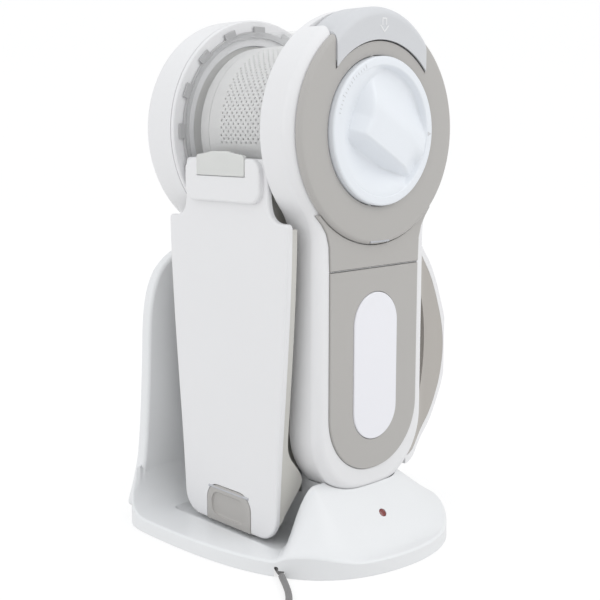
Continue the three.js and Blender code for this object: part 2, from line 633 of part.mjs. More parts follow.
function exitBlock(back, ahead, width, low, high) {
  return toSolid(new THREE.BoxGeometry(back + ahead, width, high - low)
    .translate((ahead - back) / 2, 0, (low + high) / 2)
    .rotateZ(exitTurn).translate(EXIT.x, EXIT.y, 0));
}

const COVER_TOP = 2.4;
const standUnder = alongZ(standOutline(9), -1, COVER_TOP + GAP);
const wiring = box([-60, 60], [2, 42], [-1, 24]);
const backrest = alongX(backrestOutline(), BACKREST_OUT, BACKREST_IN, 3, 2);
const exitNotch = exitBlock(26, -8, 8, -1, 6.2).add(exitBlock(26, 8, 5.6, -1, 5.7));
const lampAt = [75, -5];
const contactX = 12;
let standBody = standMound().intersect(alongZ(standOutline(0), 0, 80)).add(backrest);
standBody = standBody.subtract(cradleClearance()).subtract(standUnder).subtract(wiring).subtract(exitNotch);
standBody = standBody.subtract(rodZ(3.3, -5, 60, 16).translate([lampAt[0], lampAt[1], 0]));
for (const x of [-contactX, contactX]) {
  standBody = standBody.subtract(rodZ(2.6, 20, 60, 16).translate([x, 20, 0]));
}
place(assembly, 'stand_body', standBody, 'stand_white');

const FEET = [[-58, -66], [-58, 56], [64, -52], [64, 38]];
const SCREWS = [[-36, -68], [-36, 58], [38, -64], [38, 50]];
let baseCover = alongZ(standOutline(9 + GAP), 0, COVER_TOP).subtract(exitNotch);
for (const [x, y] of FEET) {
  baseCover = baseCover.subtract(rodZ(7.3, -1, 1.6, 20).translate([x, y, 0]));
}
for (const [x, y] of SCREWS) {
  baseCover = baseCover.subtract(rodZ(3.3, -1, 10, 16).translate([x, y, 0]));
}
place(assembly, 'stand_base_cover', baseCover, 'adapter_grey');
FEET.forEach(([x, y], i) => {
  place(assembly, `rubber_foot_${i + 1}`, rodZ(7, 0, 1.6 - GAP, 18), 'rubber_dark').position.set(x, y, 0);
});
SCREWS.forEach(([x, y], i) => {
  const screw = rodZ(3, 0.2, COVER_TOP, 14);
  place(assembly, `base_screw_${i + 1}`, screw, 'steel').position.set(x, y, 0);
});
const lampTop = standHeight(...lampAt) + 0.8;
place(assembly, 'charge_lamp', rodZ(3, COVER_TOP + 2, lampTop, 16).translate([...lampAt, 0]), 'lamp_red');
[-contactX, contactX].forEach((x, i) => {
  const top = PIVOT_Z + CORE_BOTTOM - GAP;
  const contact = rodZ(2.2, 24.5, top, 14).translate([x, 20, 0]);
  place(assembly, `charge_contact_${i + 1}`, contact, 'brass');
});

// ---------------------------------------------------------------- cord, coil and wall adapter
function alongExit(distance, z) {
  const p = EXIT.clone().addScaledVector(EXIT_DIRECTION, distance);
  return new THREE.Vector3(p.x, p.y, z);
}

const gland = toSolid(new THREE.CylinderGeometry(2.1, 3, 22, 16).rotateZ(-Math.PI / 2)
  .translate(-10, 0, 0).rotateZ(exitTurn).translate(EXIT.x, EXIT.y, 3.1));
place(assembly, 'cord_strain_relief', gland, 'cord_grey');

const CORD_R = CORD_D / 2;
const LIE_Z = CORD_R + 0.1;   // centre of a cord lying on the table

// The cord's free route: out of the rim, across the table and up to the coil's outer turn.
const LEAD_ROUTE = [
  alongExit(1 + GAP, LIE_Z).toArray(),
  [76, -84.2, LIE_Z], [84, -90, LIE_Z], [91, -96.6, LIE_Z], [97, -104.5, LIE_Z],
  [102, -113.5, LIE_Z], [105.6, -123, LIE_Z], [108.4, -132.5, LIE_Z], [111, -139.5, LIE_Z],
];
// Down from the coil's top outer turn, round its side and on to the adapter's boot.
const TAIL_ROUTE = [
  [113.6, -145.9, 13.55], [117.1, -152.6, 13.3], [122.4, -158.6, 12], [129.8, -162.3, 9.8],
  [138.1, -163.2, 7.2], [150, -163.2, 4.4], [160, -163.2, 2.5], [167.3, -163.2, 2.1],
  [175, -161.1, 2.8], [180.6, -155.5, 4.4], [182.7, -148.4, 5.8],
];

function cordTube(route, steps) {
  const sides = 8;
  const section = new THREE.Shape();
  for (let i = 0; i < sides; i++) {
    const a = (i / sides) * Math.PI * 2;
    const p = [CORD_R * Math.cos(a), CORD_R * Math.sin(a)];
    i === 0 ? section.moveTo(...p) : section.lineTo(...p);
  }
  const path = new THREE.CatmullRomCurve3(route.map((p) => new THREE.Vector3(...p)), false, 'centripetal');
  return toSolid(new THREE.ExtrudeGeometry(section, { steps, extrudePath: path, bevelEnabled: false }));
}

function ringZ(inner, outer, low, high, facets) {
  const corners = [[inner, low], [outer, low], [outer, high], [inner, high], [inner, low]];
  const profile = corners.map(([r, z]) => new THREE.Vector2(r, z));
  return toSolid(new THREE.LatheGeometry(profile, facets).rotateX(Math.PI / 2));
}

const PITCH = CORD_D + 0.05;
const COIL_IN = COIL_MEAN_R - (PITCH * COIL_TURNS_WIDE) / 2;
const COIL_OUT = COIL_MEAN_R + (PITCH * COIL_TURNS_WIDE) / 2;
const COIL_HIGH = PITCH * COIL_LAYERS + 0.15;
const coil = ringZ(COIL_IN, COIL_OUT, 0.05, COIL_HIGH, 36).translate([...COIL_CENTRE, 0]);
const coilSpace = ringZ(COIL_IN - GAP, COIL_OUT + GAP, -1, COIL_HIGH + GAP, 36).translate([...COIL_CENTRE, 0]);
place(assembly, 'cord', cordTube(LEAD_ROUTE, 16).subtract(coilSpace), 'cord_grey');
place(assembly, 'cord_coil', coil, 'cord_grey');
place(assembly, 'cord_tail', cordTube(TAIL_ROUTE, 18).subtract(coilSpace), 'cord_grey');

function tieSolid() {
  const thick = 1.6;
  const around = box([COIL_IN - thick, COIL_OUT + thick], [-4, 4], [0.4, COIL_HIGH + thick]);
  return around.rotate([0, 0, TIE_ANGLE]).translate([...COIL_CENTRE, 0]).subtract(coilSpace);
}

place(assembly, 'cord_tie', tieSolid(), 'rubber_dark');

const [adapterLong, adapterWide, adapterHigh] = ADAPTER_SIZE;
const adapterBody = alongX(roundedBox([-adapterWide / 2, 0], [adapterWide / 2, adapterHigh], 4),
  -adapterLong / 2, adapterLong / 2, 2, 2);
const adapterBoot = toSolid(new THREE.CylinderGeometry(4, 2.5, 13.5, 16).rotateZ(-Math.PI / 2)
  .translate(-adapterLong / 2 - 5.75, 0, 6));

function setAdapter(solid) {
  return solid.rotate([0, 0, ADAPTER_TURN]).translate([...ADAPTER_CENTRE, 0]);
}

place(assembly, 'wall_adapter', setAdapter(adapterBody.add(adapterBoot)), 'adapter_grey');
[-6.35, 6.35].forEach((y, i) => {
  const blade = box([adapterLong / 2 + GAP, adapterLong / 2 + 17], [y - 0.75, y + 0.75], [8.4, 14.7]);
  place(assembly, `adapter_pin_${i + 1}`, setAdapter(blade), 'brass');
});

export default assembly;
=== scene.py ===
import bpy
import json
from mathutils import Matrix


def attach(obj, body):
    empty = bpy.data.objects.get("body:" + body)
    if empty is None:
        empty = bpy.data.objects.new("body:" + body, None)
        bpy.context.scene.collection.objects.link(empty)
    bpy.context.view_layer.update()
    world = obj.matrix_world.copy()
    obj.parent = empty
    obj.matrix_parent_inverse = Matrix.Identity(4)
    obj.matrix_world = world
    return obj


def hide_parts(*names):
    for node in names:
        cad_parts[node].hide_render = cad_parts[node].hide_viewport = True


bl_info = {
    "name": "Folding handheld vacuum",
    "version": (1, 0, 0),
    "blender": (4, 5, 0),
    "location": "View3D > Sidebar > Vacuum",
    "description": "Builds the outside of a folding handheld vacuum in its charging stand",
    "category": "Object",
}

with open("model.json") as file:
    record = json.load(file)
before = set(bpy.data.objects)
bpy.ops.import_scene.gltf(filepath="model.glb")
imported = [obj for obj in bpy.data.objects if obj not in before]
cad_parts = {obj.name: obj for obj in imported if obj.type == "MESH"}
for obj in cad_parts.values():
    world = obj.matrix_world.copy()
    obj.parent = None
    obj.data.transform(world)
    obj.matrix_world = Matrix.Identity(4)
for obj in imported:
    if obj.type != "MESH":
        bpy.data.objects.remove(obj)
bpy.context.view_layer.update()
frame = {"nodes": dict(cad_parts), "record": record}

import json
import math

import bmesh
import bpy
from bpy.props import FloatProperty, FloatVectorProperty, IntProperty, PointerProperty
from mathutils import Matrix, Vector

MM = 0.001

# Driving dimensions in millimetres. The vacuum's count from its own origin on the nozzle pivot, and those
# of the stand and the cord from the stand's origin on the floor.
PIVOT_Z = 245.0
GAP = 0.3
WALL = 2.4
POD_R = 68.0
POD_IN = 38.0
POD_OUT = 62.0
EDGE_ROUND = 6.5
ARM_HALF = 46.5
ARM_BOTTOM = -213.0
ARM_CORNER = 42.0
WAIST_R = 28.0
PANEL_HALF = 37.5
PANEL_CORNER = 36.0
PANEL_LOW = -198.0
PANEL_TOP = -78.0
BADGE_R = 18.5
BADGE_LOW = -161.5
BADGE_HIGH = -110.5
CORE_LOW = (-12.0, -206.0)
CORE_HIGH = (46.5, -70.0)
RING_R = 64.0
RING_HOLE_R = 42.2
RING_FACE = 66.0
GRILLE_FACE = 68.5
WHEEL_R = 41.8
WHEEL_FACE = 69.0
WHEEL_DISH_R = 36.6
GRIP_TOP = 71.8
GRIP_TILT = -29.0
LATCH_LOW_R = 53.0
LATCH_IN = 46.0
LATCH_HALF = 37.0
BOWL_R = 60.0
BOWL_HALF = 36.0
SCREEN_R = 51.0
PLATE_Y = -60.5
COVER_THICK = 3.2
NECK_TOP = -15.0
NECK_HALF = 36.0
NOZZLE_TIP = -236.0
FLAP_FRONT = -60.9
DUCT_FRONT = PLATE_Y + COVER_THICK + GAP
WIDE_BACK = -52.5
BOW_LOW = 210.0
SPINE_THICK = 5.0
RIM_H = 9.0
MOUND = 37.0
BACKREST_IN = -71.0
BACKREST_OUT = -80.0
STAND_FRONT = 102.0
STAND_MID = (10.0, -5.0)
LAMP_AT = (75.0, -5.0)
CORD_D = 3.8
LIE_Z = CORD_D / 2 + 0.1
EXIT = (67.0, -78.5)
EXIT_DIRECTION = (0.84, -0.54)
EXIT_TURN = math.atan2(EXIT_DIRECTION[1], EXIT_DIRECTION[0])
COIL_CENTRE = (136.0, -133.0)
COIL_MEAN_R = 22.0
COIL_PITCH = CORD_D + 0.05
COIL_LAYERS = 4
COIL_TURNS_WIDE = 3
TIE_ANGLE = 60.0
ADAPTER_SIZE = (46.0, 34.0, 23.0)
ADAPTER_CENTRE = (182.7, -112.0)

# The camera, in metres and degrees.
CAMERA_AT = (0.4759, -0.4600, 0.2494)
CAMERA_TURN = 46.0
CAMERA_TILT = 9.33


# ---- settings a user would change
def colour_setting(name, description, default):
    return FloatVectorProperty(
        name=name, description=description, subtype="COLOR", size=3, min=0, max=1, default=default)


class VacuumColours(bpy.types.PropertyGroup):
    white: colour_setting("White shell", "Housings, nozzle cover and handle spine", (0.80, 0.80, 0.81))
    stand: colour_setting("Stand", "Charging stand", (0.80, 0.81, 0.82))
    grey: colour_setting("Soft grey", "Grip panels and door ring", (0.45, 0.437, 0.42))
    # The grip's colour is a darker, browner copy of the soft grey: painted shade, because the handle's bow
    # sits in shadow.
    grip: colour_setting("Painted shade grip grey", "Soft grip of the loop handle", (0.41, 0.385, 0.355))
    duct: colour_setting("Duct grey", "Nozzle duct behind the cover", (0.62, 0.61, 0.575))
    wheel: colour_setting("Cleaning wheel", "Filter-cleaning wheel", (0.80, 0.83, 0.87))
    latch: colour_setting("Latch", "Release latch and switch", (0.62, 0.63, 0.65))
    cord: colour_setting("Cord", "Charger lead", (0.22, 0.215, 0.215))


class VacuumDetail(bpy.types.PropertyGroup):
    screen_pitch: FloatProperty(
        name="Screen pitch", description="Distance between the screen's holes, in millimetres",
        default=2.15, min=1.5, max=6)
    hole_share: FloatProperty(
        name="Hole margin", description="Wall left round each hole, as a share of the pitch",
        default=0.32, min=0.1, max=0.45)
    rim_ticks: IntProperty(
        name="Rim ticks", description="Marks along the wheel's rim", default=15, min=0, max=40)
    grain: FloatProperty(
        name="Grain", description="Depth of the moulded grain", default=1.0, min=0, max=4)


class VacuumStage(bpy.types.PropertyGroup):
    key_power: FloatProperty(
        name="Key light", description="Large soft light on the wheel's side", subtype="POWER",
        unit="POWER", default=5.0, min=0)
    fill_power: FloatProperty(
        name="Fill light", description="Soft light on the nozzle's side", subtype="POWER",
        unit="POWER", default=4.0, min=0)
    world: FloatProperty(
        name="Room light", description="Even white light from above", default=1.03, min=0)
    backdrop_seen: FloatProperty(
        name="Backdrop brightness", description="Brightness of the backdrop as the camera sees it",
        default=0.72, min=0)
    backdrop_light: FloatProperty(
        name="Backdrop light", description="Light that the backdrop sheds on the vacuum", default=0.56, min=0)
    lens: FloatProperty(
        name="Lens", description="Focal length on a 36 mm wide sensor", subtype="DISTANCE_CAMERA",
        default=64.4, min=20)


# ---- outlines, as lists of 2-D points
def smooth_step(t):
    t = min(max(t, 0.0), 1.0)
    return t * t * (3 - 2 * t)


def arc(cx, cy, radius, start, end, step=5.0):
    count = max(2, math.ceil(abs(end - start) / step))
    angles = [math.radians(start + (end - start) * i / count) for i in range(count + 1)]
    return [(cx + radius * math.cos(a), cy + radius * math.sin(a)) for a in angles]


def bezier(p0, p1, p2, p3, count=16):
    points = []
    for i in range(count + 1):
        t = i / count
        w = ((1 - t) ** 3, 3 * t * (1 - t) ** 2, 3 * t * t * (1 - t), t ** 3)
        points.append(tuple(sum(k * p[j] for k, p in zip(w, (p0, p1, p2, p3))) for j in (0, 1)))
    return points


def tidy(points, least=0.05):
    kept = []
    for p in points:
        if not kept or math.dist(p, kept[-1]) > least:
            kept.append(p)
    if math.dist(kept[0], kept[-1]) <= least:
        kept.pop()
    return kept


def rounded_box(low, high, radius):
    return [
        *arc(high[0] - radius, low[1] + radius, radius, 270, 360, 10),
        *arc(high[0] - radius, high[1] - radius, radius, 0, 90, 10),
        *arc(low[0] + radius, high[1] - radius, radius, 90, 180, 10),
        *arc(low[0] + radius, low[1] + radius, radius, 180, 270, 10),
    ]


def both_sides(half):
    """A closed outline from its right half, which runs from the top or bottom mid-line to the other."""
    return tidy([*half, *[(-u, v) for u, v in reversed(half)]])


def keyhole(inset=0.0):
    r = POD_R - inset
    half = ARM_HALF - inset
    waist = WAIST_R + inset
    corner = ARM_CORNER - inset
    cy = half + waist
    cz = -math.sqrt((r + waist) ** 2 - cy ** 2)
    lean = math.degrees(math.atan2(-cz, cy))
    low = ARM_BOTTOM + inset + corner
    return tidy([
        *arc(half - corner, low, corner, 270, 360),
        *arc(cy, cz, waist, 180, 180 - lean),
        *arc(0, 0, r, -lean, 180 + lean),
        *arc(-cy, cz, waist, lean, 0),
        *arc(-half + corner, low, corner, 180, 270),
    ])


def panel_outline(inset=0.0):
    half = PANEL_HALF - inset
    corner = PANEL_CORNER - inset
    low = PANEL_LOW + inset + corner
    top = PANEL_TOP - inset
    return tidy([*arc(half - corner, low, corner, 270, 360), (half, top), (-half, top),
                 *arc(-half + corner, low, corner, 180, 270)])


def badge_outline(inset=0.0):
    radius = BADGE_R - inset
    return tidy([*arc(0, BADGE_LOW, radius, 180, 360), *arc(0, BADGE_HIGH, radius, 0, 180)])


def upright_sector(low, half, high=74.0):
    """The band above an arc, cut off by two upright sides."""
    side = math.degrees(math.acos(half / low))
    return tidy([(-half, high), *arc(0, 0, low, 180 - side, side, 3), (half, high)])


def nozzle_outline(inset=0.0):
    neck = NECK_HALF - inset
    half = [
        (0, NECK_TOP - inset), *arc(neck - 3, NECK_TOP - inset - 3, 3, 90, 0, 15),
        *bezier((neck + 0.4, -36), (neck + 0.8, -46), (neck + 4, -50 - inset), (neck + 12, -50 - inset), 8),
        *arc(50.6 - inset, -52.4 - inset, 2.4, 90, 0, 15),
        *bezier((53 - inset, -56), (52 - inset, -104), (47 - inset, -150), (44 - inset, -190), 12),
        *bezier((44 - inset, -190), (43.3 - inset, -199), (42.6 - inset, -212), (42 - inset, -222), 4),
        *arc(28, -222, 14 - inset, 0, -90, 9), (0, NOZZLE_TIP + inset),
    ]
    return both_sides(half)


def flap_outline(spread=0.0):
    return both_sides([(0, -213 + spread), *arc(10, -223, 10 + spread, 90, 0, 9),
                       (20 + spread, NOZZLE_TIP - spread), (0, NOZZLE_TIP - spread)])


def stand_outline(inset=0.0):
    points = tidy([
        *bezier((BACKREST_OUT, -61), (BACKREST_OUT, -82), (-74, -90), (-45, -91.5), 12),
        *bezier((-45, -91.5), (48, -93), (100, -78), (STAND_FRONT, -5), 48),
        *bezier((STAND_FRONT, -5), (STAND_FRONT, 60), (38, 79), (-45, 81.5), 48),
        *bezier((-45, 81.5), (-68, 82), (BACKREST_OUT, 82), (BACKREST_OUT, 70), 12),
        *[(BACKREST_OUT, 70 - 131 * i / 24) for i in range(1, 24)],
    ])
    middle = Vector(STAND_MID)
    moved = []
    for p in points:
        out = Vector(p) - middle
        moved.append(tuple(middle + out * (1 - inset / out.length)))
    return moved


def backrest_outline():
    side = [*bezier((60, 3.2), (73, 3.2), (79.5, 5), (79, 9), 8),
            *bezier((79, 9), (77, 15), (73.5, 24), (71, 36), 8)[1:],
            *bezier((71, 36), (68.6, 50), (67, 76), (65.6, 100), 12)[1:],
            *bezier((65.6, 100), (64.6, 124), (64.4, 143), (55, 157), 14)[1:],
            *bezier((55, 157), (46, 168.5), (32, 173), (22, 174.2), 12)[1:],
            *bezier((22, 174.2), (12, 175), (6, 175), (0, 175), 6)[1:]]
    return both_sides(side)


# ---- mesh tools
TURN = {
    "X": Matrix(((0, 0, 1, 0), (1, 0, 0, 0), (0, 1, 0, 0), (0, 0, 0, 1))),
    "Y": Matrix(((1, 0, 0, 0), (0, 0, 1, 0), (0, 1, 0, 0), (0, 0, 0, 1))),
    "Z": Matrix.Identity(4),
}


def link(name, data):
    made = bpy.data.objects.new(name, data)
    bpy.context.scene.collection.objects.link(made)
    return made


def new_piece(bm, name):
    bmesh.ops.recalc_face_normals(bm, faces=bm.faces)
    mesh = bpy.data.meshes.new(name)
    bm.to_mesh(mesh)
    bm.free()
    return link(name, mesh)


def round_rim(bm, level, radius, steps):
    rim = [e for e in bm.edges if all(abs(v.co.z - level) < 1e-4 for v in e.verts)]
    bmesh.ops.bevel(bm, geom=rim, offset=radius, offset_type="OFFSET", segments=steps, profile=0.5,
                    affect="EDGES", material=-1, clamp_overlap=False)


def slab(name, outline, axis, low, high, round_low=0.0, round_high=0.0, steps=4):
    """An outline drawn out along an axis, with its two rims rounded."""
    bm = bmesh.new()
    face = bm.faces.new([bm.verts.new((u, v, low)) for u, v in outline])
    made = bmesh.ops.extrude_face_region(bm, geom=[face])["geom"]
    top = [v for v in made if isinstance(v, bmesh.types.BMVert)]
    bmesh.ops.translate(bm, vec=(0, 0, high - low), verts=top)
    bmesh.ops.recalc_face_normals(bm, faces=bm.faces)
    if round_high:
        round_rim(bm, high, round_high, steps)
    if round_low:
        round_rim(bm, low, round_low, steps)
    bmesh.ops.transform(bm, matrix=TURN[axis], verts=bm.verts)
    return new_piece(bm, name)


def lathe(name, profile, axis="X", steps=128):
    """A closed profile of (place along the axis, radius) spun all the way round the axis."""
    bm = bmesh.new()
    verts = [bm.verts.new((r, 0, w)) for w, r in profile]
    edges = [bm.edges.new(pair) for pair in zip(verts, verts[1:])]
    if min(profile[0][1], profile[-1][1]) > 0.001:
        edges.append(bm.edges.new((verts[-1], verts[0])))
    bmesh.ops.spin(bm, geom=verts + edges, cent=(0, 0, 0), axis=(0, 0, 1), angle=math.tau,
                   steps=steps, use_merge=True)
    bmesh.ops.remove_doubles(bm, verts=bm.verts, dist=1e-4)
    bmesh.ops.transform(bm, matrix=TURN[axis], verts=bm.verts)
    return new_piece(bm, name)


def rod(name, radius, low, high, axis="X", steps=96):
    return lathe(name, [(low, 0), (low, radius), (high, radius), (high, 0)], axis, steps)


def block(name, low, high, radius=0.0, steps=3):
    bm = bmesh.new()
    bmesh.ops.create_cube(bm, size=1)
    size = [b - a for a, b in zip(low, high)]
    bmesh.ops.scale(bm, vec=size, verts=bm.verts)
    bmesh.ops.translate(bm, vec=[(a + b) / 2 for a, b in zip(low, high)], verts=bm.verts)
    if radius:
        bmesh.ops.bevel(bm, geom=bm.edges[:], offset=radius, offset_type="OFFSET", segments=steps,
                        profile=0.5, affect="EDGES", material=-1)
    return new_piece(bm, name)


def bake(piece):
    graph = bpy.context.evaluated_depsgraph_get()
    mesh = bpy.data.meshes.new_from_object(piece.evaluated_get(graph))
    piece.modifiers.clear()
    piece.data = mesh


def combine(piece, others, operation):
    for other in others:
        change = piece.modifiers.new("combine", "BOOLEAN")
        change.operation = operation
        change.solver = "EXACT"
        change.object = other
    bake(piece)
    for other in others:
        bpy.data.objects.remove(other)
    return piece


def carve(piece, *cutters):
    return combine(piece, cutters, "DIFFERENCE")


def join(piece, *others):
    return combine(piece, others, "UNION")


def keep_inside(piece, *forms):
    return combine(piece, forms, "INTERSECT")


def round_edges(piece, width, steps=3, angle=40):
    change = piece.modifiers.new("rounded edges", "BEVEL")
    change.width = width
    change.segments = steps
    change.limit_method = "ANGLE"
    change.angle_limit = math.radians(angle)
    change.use_clamp_overlap = True
    bake(piece)
    return piece


def move(piece, matrix):
    piece.data.transform(matrix)
    if matrix.determinant() < 0:
        piece.data.flip_normals()
    return piece


def mirror_x(piece):
    return move(piece, Matrix.Scale(-1, 4, (1, 0, 0)))


def place(x=0.0, y=0.0, z=0.0, turn=0.0, axis="Z"):
    """The move that turns a piece about an axis, in radians, and then shifts it."""
    return Matrix.Translation((x, y, z)) @ Matrix.Rotation(turn, 4, axis)


def round_corner(along, radius, size, angles):
    """Profile points round a convex corner, from the side towards the end face."""
    return [(along + size * math.sin(a), radius + size * math.cos(a)) for a in angles]


def settle(piece, body, slot, nodes=(), finish=None, lift=PIVOT_Z, sharp=32):
    """Puts a piece that is modelled in millimetres into the frame, and hands it to its body."""
    piece.data.transform(Matrix.Scale(MM, 4) @ place(z=lift))
    for face in piece.data.polygons:
        face.use_smooth = True
    piece.data.set_sharp_from_angle(angle=math.radians(sharp))
    even = piece.modifiers.new("even shading", "WEIGHTED_NORMAL")
    even.keep_sharp = True
    piece.data.materials.clear()
    piece.data.materials.append(finish or finish_for(slot))
    if nodes:
        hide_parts(*nodes)
    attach(piece, body)
    return piece


# ---- effects shared by the finishes
def start_group(name, inputs, outputs):
    group = bpy.data.node_groups.new(name, "ShaderNodeTree")
    for label, kind, default in inputs:
        socket = group.interface.new_socket(label, in_out="INPUT", socket_type=kind)
        socket.default_value = default
    for label, kind in outputs:
        group.interface.new_socket(label, in_out="OUTPUT", socket_type=kind)
    return group, group.nodes.new("NodeGroupInput"), group.nodes.new("NodeGroupOutput")


def add_math(tree, operation, a, b):
    node = tree.nodes.new("ShaderNodeMath")
    node.operation = operation
    for socket, value in zip(node.inputs, (a, b)):
        if isinstance(value, (int, float)):
            socket.default_value = value
        else:
            tree.links.new(value, socket)
    return node.outputs[0]


def add_noise(tree, scale, detail=3.0):
    place = tree.nodes.new("ShaderNodeTexCoord")
    noise = tree.nodes.new("ShaderNodeTexNoise")
    noise.inputs["Detail"].default_value = detail
    tree.links.new(place.outputs["Object"], noise.inputs["Vector"])
    if isinstance(scale, (int, float)):
        noise.inputs["Scale"].default_value = scale
    else:
        tree.links.new(scale, noise.inputs["Scale"])
    return noise.outputs["Fac"]


def moulded_grain_group():
    """Fine spark-eroded grain: small pits over slow waves, as a height in metres."""
    group, given, result = start_group(
        "Moulded grain", [("Scale", "NodeSocketFloat", 900.0), ("Depth", "NodeSocketFloat", 0.00002)],
        [("Height", "NodeSocketFloat")])
    fine = add_noise(group, given.outputs["Scale"], 2.0)
    slow = add_noise(group, 14.0, 1.0)
    pits = add_math(group, "MULTIPLY", fine, given.outputs["Depth"])
    waves = add_math(group, "MULTIPLY", slow, 0.00012)
    group.links.new(add_math(group, "ADD", pits, waves), result.inputs["Height"])
    return group


def tone_drift_group():
    """Slow, slight lightening and darkening of a moulded colour."""
    group, given, result = start_group(
        "Tone drift", [("Colour", "NodeSocketColor", (1, 1, 1, 1)), ("Amount", "NodeSocketFloat", 0.03),
                       ("Scale", "NodeSocketFloat", 9.0)], [("Colour", "NodeSocketColor")])
    cloud = add_noise(group, given.outputs["Scale"], 4.0)
    centred = add_math(group, "SUBTRACT", cloud, 0.5)
    swing = add_math(group, "MULTIPLY", centred, given.outputs["Amount"])
    factor = add_math(group, "ADD", add_math(group, "MULTIPLY", swing, 2.0), 1.0)
    scaled = group.nodes.new("ShaderNodeVectorMath")
    scaled.operation = "SCALE"
    group.links.new(given.outputs["Colour"], scaled.inputs[0])
    group.links.new(factor, scaled.inputs["Scale"])
    group.links.new(scaled.outputs["Vector"], result.inputs["Colour"])
    return group


def handling_group():
    """Roughness that varies in soft smears, from handling and wiping."""
    group, given, result = start_group(
        "Handling marks", [("Roughness", "NodeSocketFloat", 0.4), ("Amount", "NodeSocketFloat", 0.08)],
        [("Roughness", "NodeSocketFloat")])
    smear = add_noise(group, 26.0, 5.0)
    centred = add_math(group, "SUBTRACT", smear, 0.5)
    swing = add_math(group, "MULTIPLY", centred, given.outputs["Amount"])
    group.links.new(add_math(group, "ADD", given.outputs["Roughness"], swing), result.inputs["Roughness"])
    return group


GROUPS = {}


def effect(tree, name, **values):
    makers = {"grain": moulded_grain_group, "drift": tone_drift_group, "handling": handling_group}
    if name not in GROUPS:
        GROUPS[name] = makers[name]()
    node = tree.nodes.new("ShaderNodeGroup")
    node.node_tree = GROUPS[name]
    for label, value in values.items():
        node.inputs[label].default_value = value
    return node.outputs[0]


# ---- finishes
def finish_base(name, colour, roughness, drift=0.03, marks=0.1, grain=900.0, depth=0.00002, extra=None):
    """A procedural material with drifting tone, handling marks and moulded grain."""
    if name in bpy.data.materials:
        return bpy.data.materials[name]
    material = bpy.data.materials.new(name)
    material.use_nodes = True
    tree = material.node_tree
    shader = tree.nodes["Principled BSDF"]
    tone = effect(tree, "drift", Colour=(*colour[:3], 1), Amount=drift)
    tree.links.new(tone, shader.inputs["Base Color"])
    rough = effect(tree, "handling", Roughness=roughness, Amount=marks)
    tree.links.new(rough, shader.inputs["Roughness"])
    height = effect(tree, "grain", Scale=grain, Depth=depth * bpy.context.scene.vacuum_detail.grain)
    relief = tree.nodes.new("ShaderNodeBump")
    relief.inputs["Strength"].default_value = 0.6
    relief.inputs["Distance"].default_value = 1.0
    tree.links.new(height, relief.inputs["Height"])
    tree.links.new(relief.outputs["Normal"], shader.inputs["Normal"])
    for label, value in (extra or {}).items():
        shader.inputs[label].default_value = value
    return material


def satin_plastic(name, colour, roughness=0.34):
    coat = {"Coat Weight": 0.12, "Coat Roughness": 0.2}
    return finish_base(name, colour, roughness, 0.018, 0.07, depth=0.000004, extra=coat)


def soft_touch(name, colour):
    sheen = {"Sheen Weight": 0.15, "Sheen Roughness": 0.5}
    return finish_base(name, colour, 0.6, grain=1500, extra=sheen)


def grained_plastic(name, colour, roughness=0.5):
    return finish_base(name, colour, roughness, grain=1100, depth=0.00003)


def clear_plastic(name, opacity, colour=(0.86, 0.87, 0.88)):
    clear = {"Alpha": opacity, "Coat Weight": 0.6, "Coat Roughness": 0.06}
    return finish_base(name, colour, 0.09, 0.01, 0.04, depth=0.000002, extra=clear)


def metal(name, colour):
    return finish_base(name, colour, 0.3, marks=0.2, grain=2200, depth=0.00001, extra={"Metallic": 1.0})


def paper(name, colour):
    return finish_base(name, colour, 0.9, 0.08, 0.05, 700, 0.0001)


def lamp_lens(name):
    glow = {"Coat Weight": 0.8, "Emission Color": (1, 0.05, 0.02, 1), "Emission Strength": 0.02}
    return finish_base(name, (0.16, 0.004, 0.002), 0.12, drift=0.1, depth=0.000002, extra=glow)


def finish_for(slot):
    """The finish of each of the record's material slots."""
    colours = bpy.context.scene.vacuum_colours
    rows = {
        "shell_white": (satin_plastic, "shell white", colours.white),
        "stand_white": (satin_plastic, "stand white", colours.stand, 0.38),
        "soft_grey": (soft_touch, "soft grey", colours.grey),
        "duct_grey": (grained_plastic, "duct grey", colours.duct),
        "wheel_white": (satin_plastic, "wheel white", colours.wheel, 0.4),
        "latch_grey": (grained_plastic, "latch grey", colours.latch, 0.42),
        "badge_white": (satin_plastic, "badge white", (0.84, 0.84, 0.88), 0.22),
        "clear": (clear_plastic, "clear bowl", 0.14),
        "screen_white": (grained_plastic, "screen white", (0.70, 0.695, 0.685)),
        "filter_paper": (paper, "filter paper", (0.78, 0.74, 0.65)),
        "rubber_dark": (grained_plastic, "dark rubber", (0.035, 0.035, 0.037), 0.75),
        "steel": (metal, "plated steel", (0.56, 0.57, 0.6)),
        "brass": (metal, "contact metal", (0.72, 0.52, 0.26)),
        "cell_wrap": (satin_plastic, "cell wrap", (0.04, 0.13, 0.3), 0.3),
        "board_green": (grained_plastic, "board green", (0.02, 0.12, 0.05), 0.35),
        "lamp_red": (lamp_lens, "lamp red"),
        "cord_grey": (grained_plastic, "cord grey", colours.cord),
        "adapter_grey": (grained_plastic, "adapter grey", (0.1, 0.1, 0.105)),
    }
    maker, *values = rows[slot]
    return maker(*values)


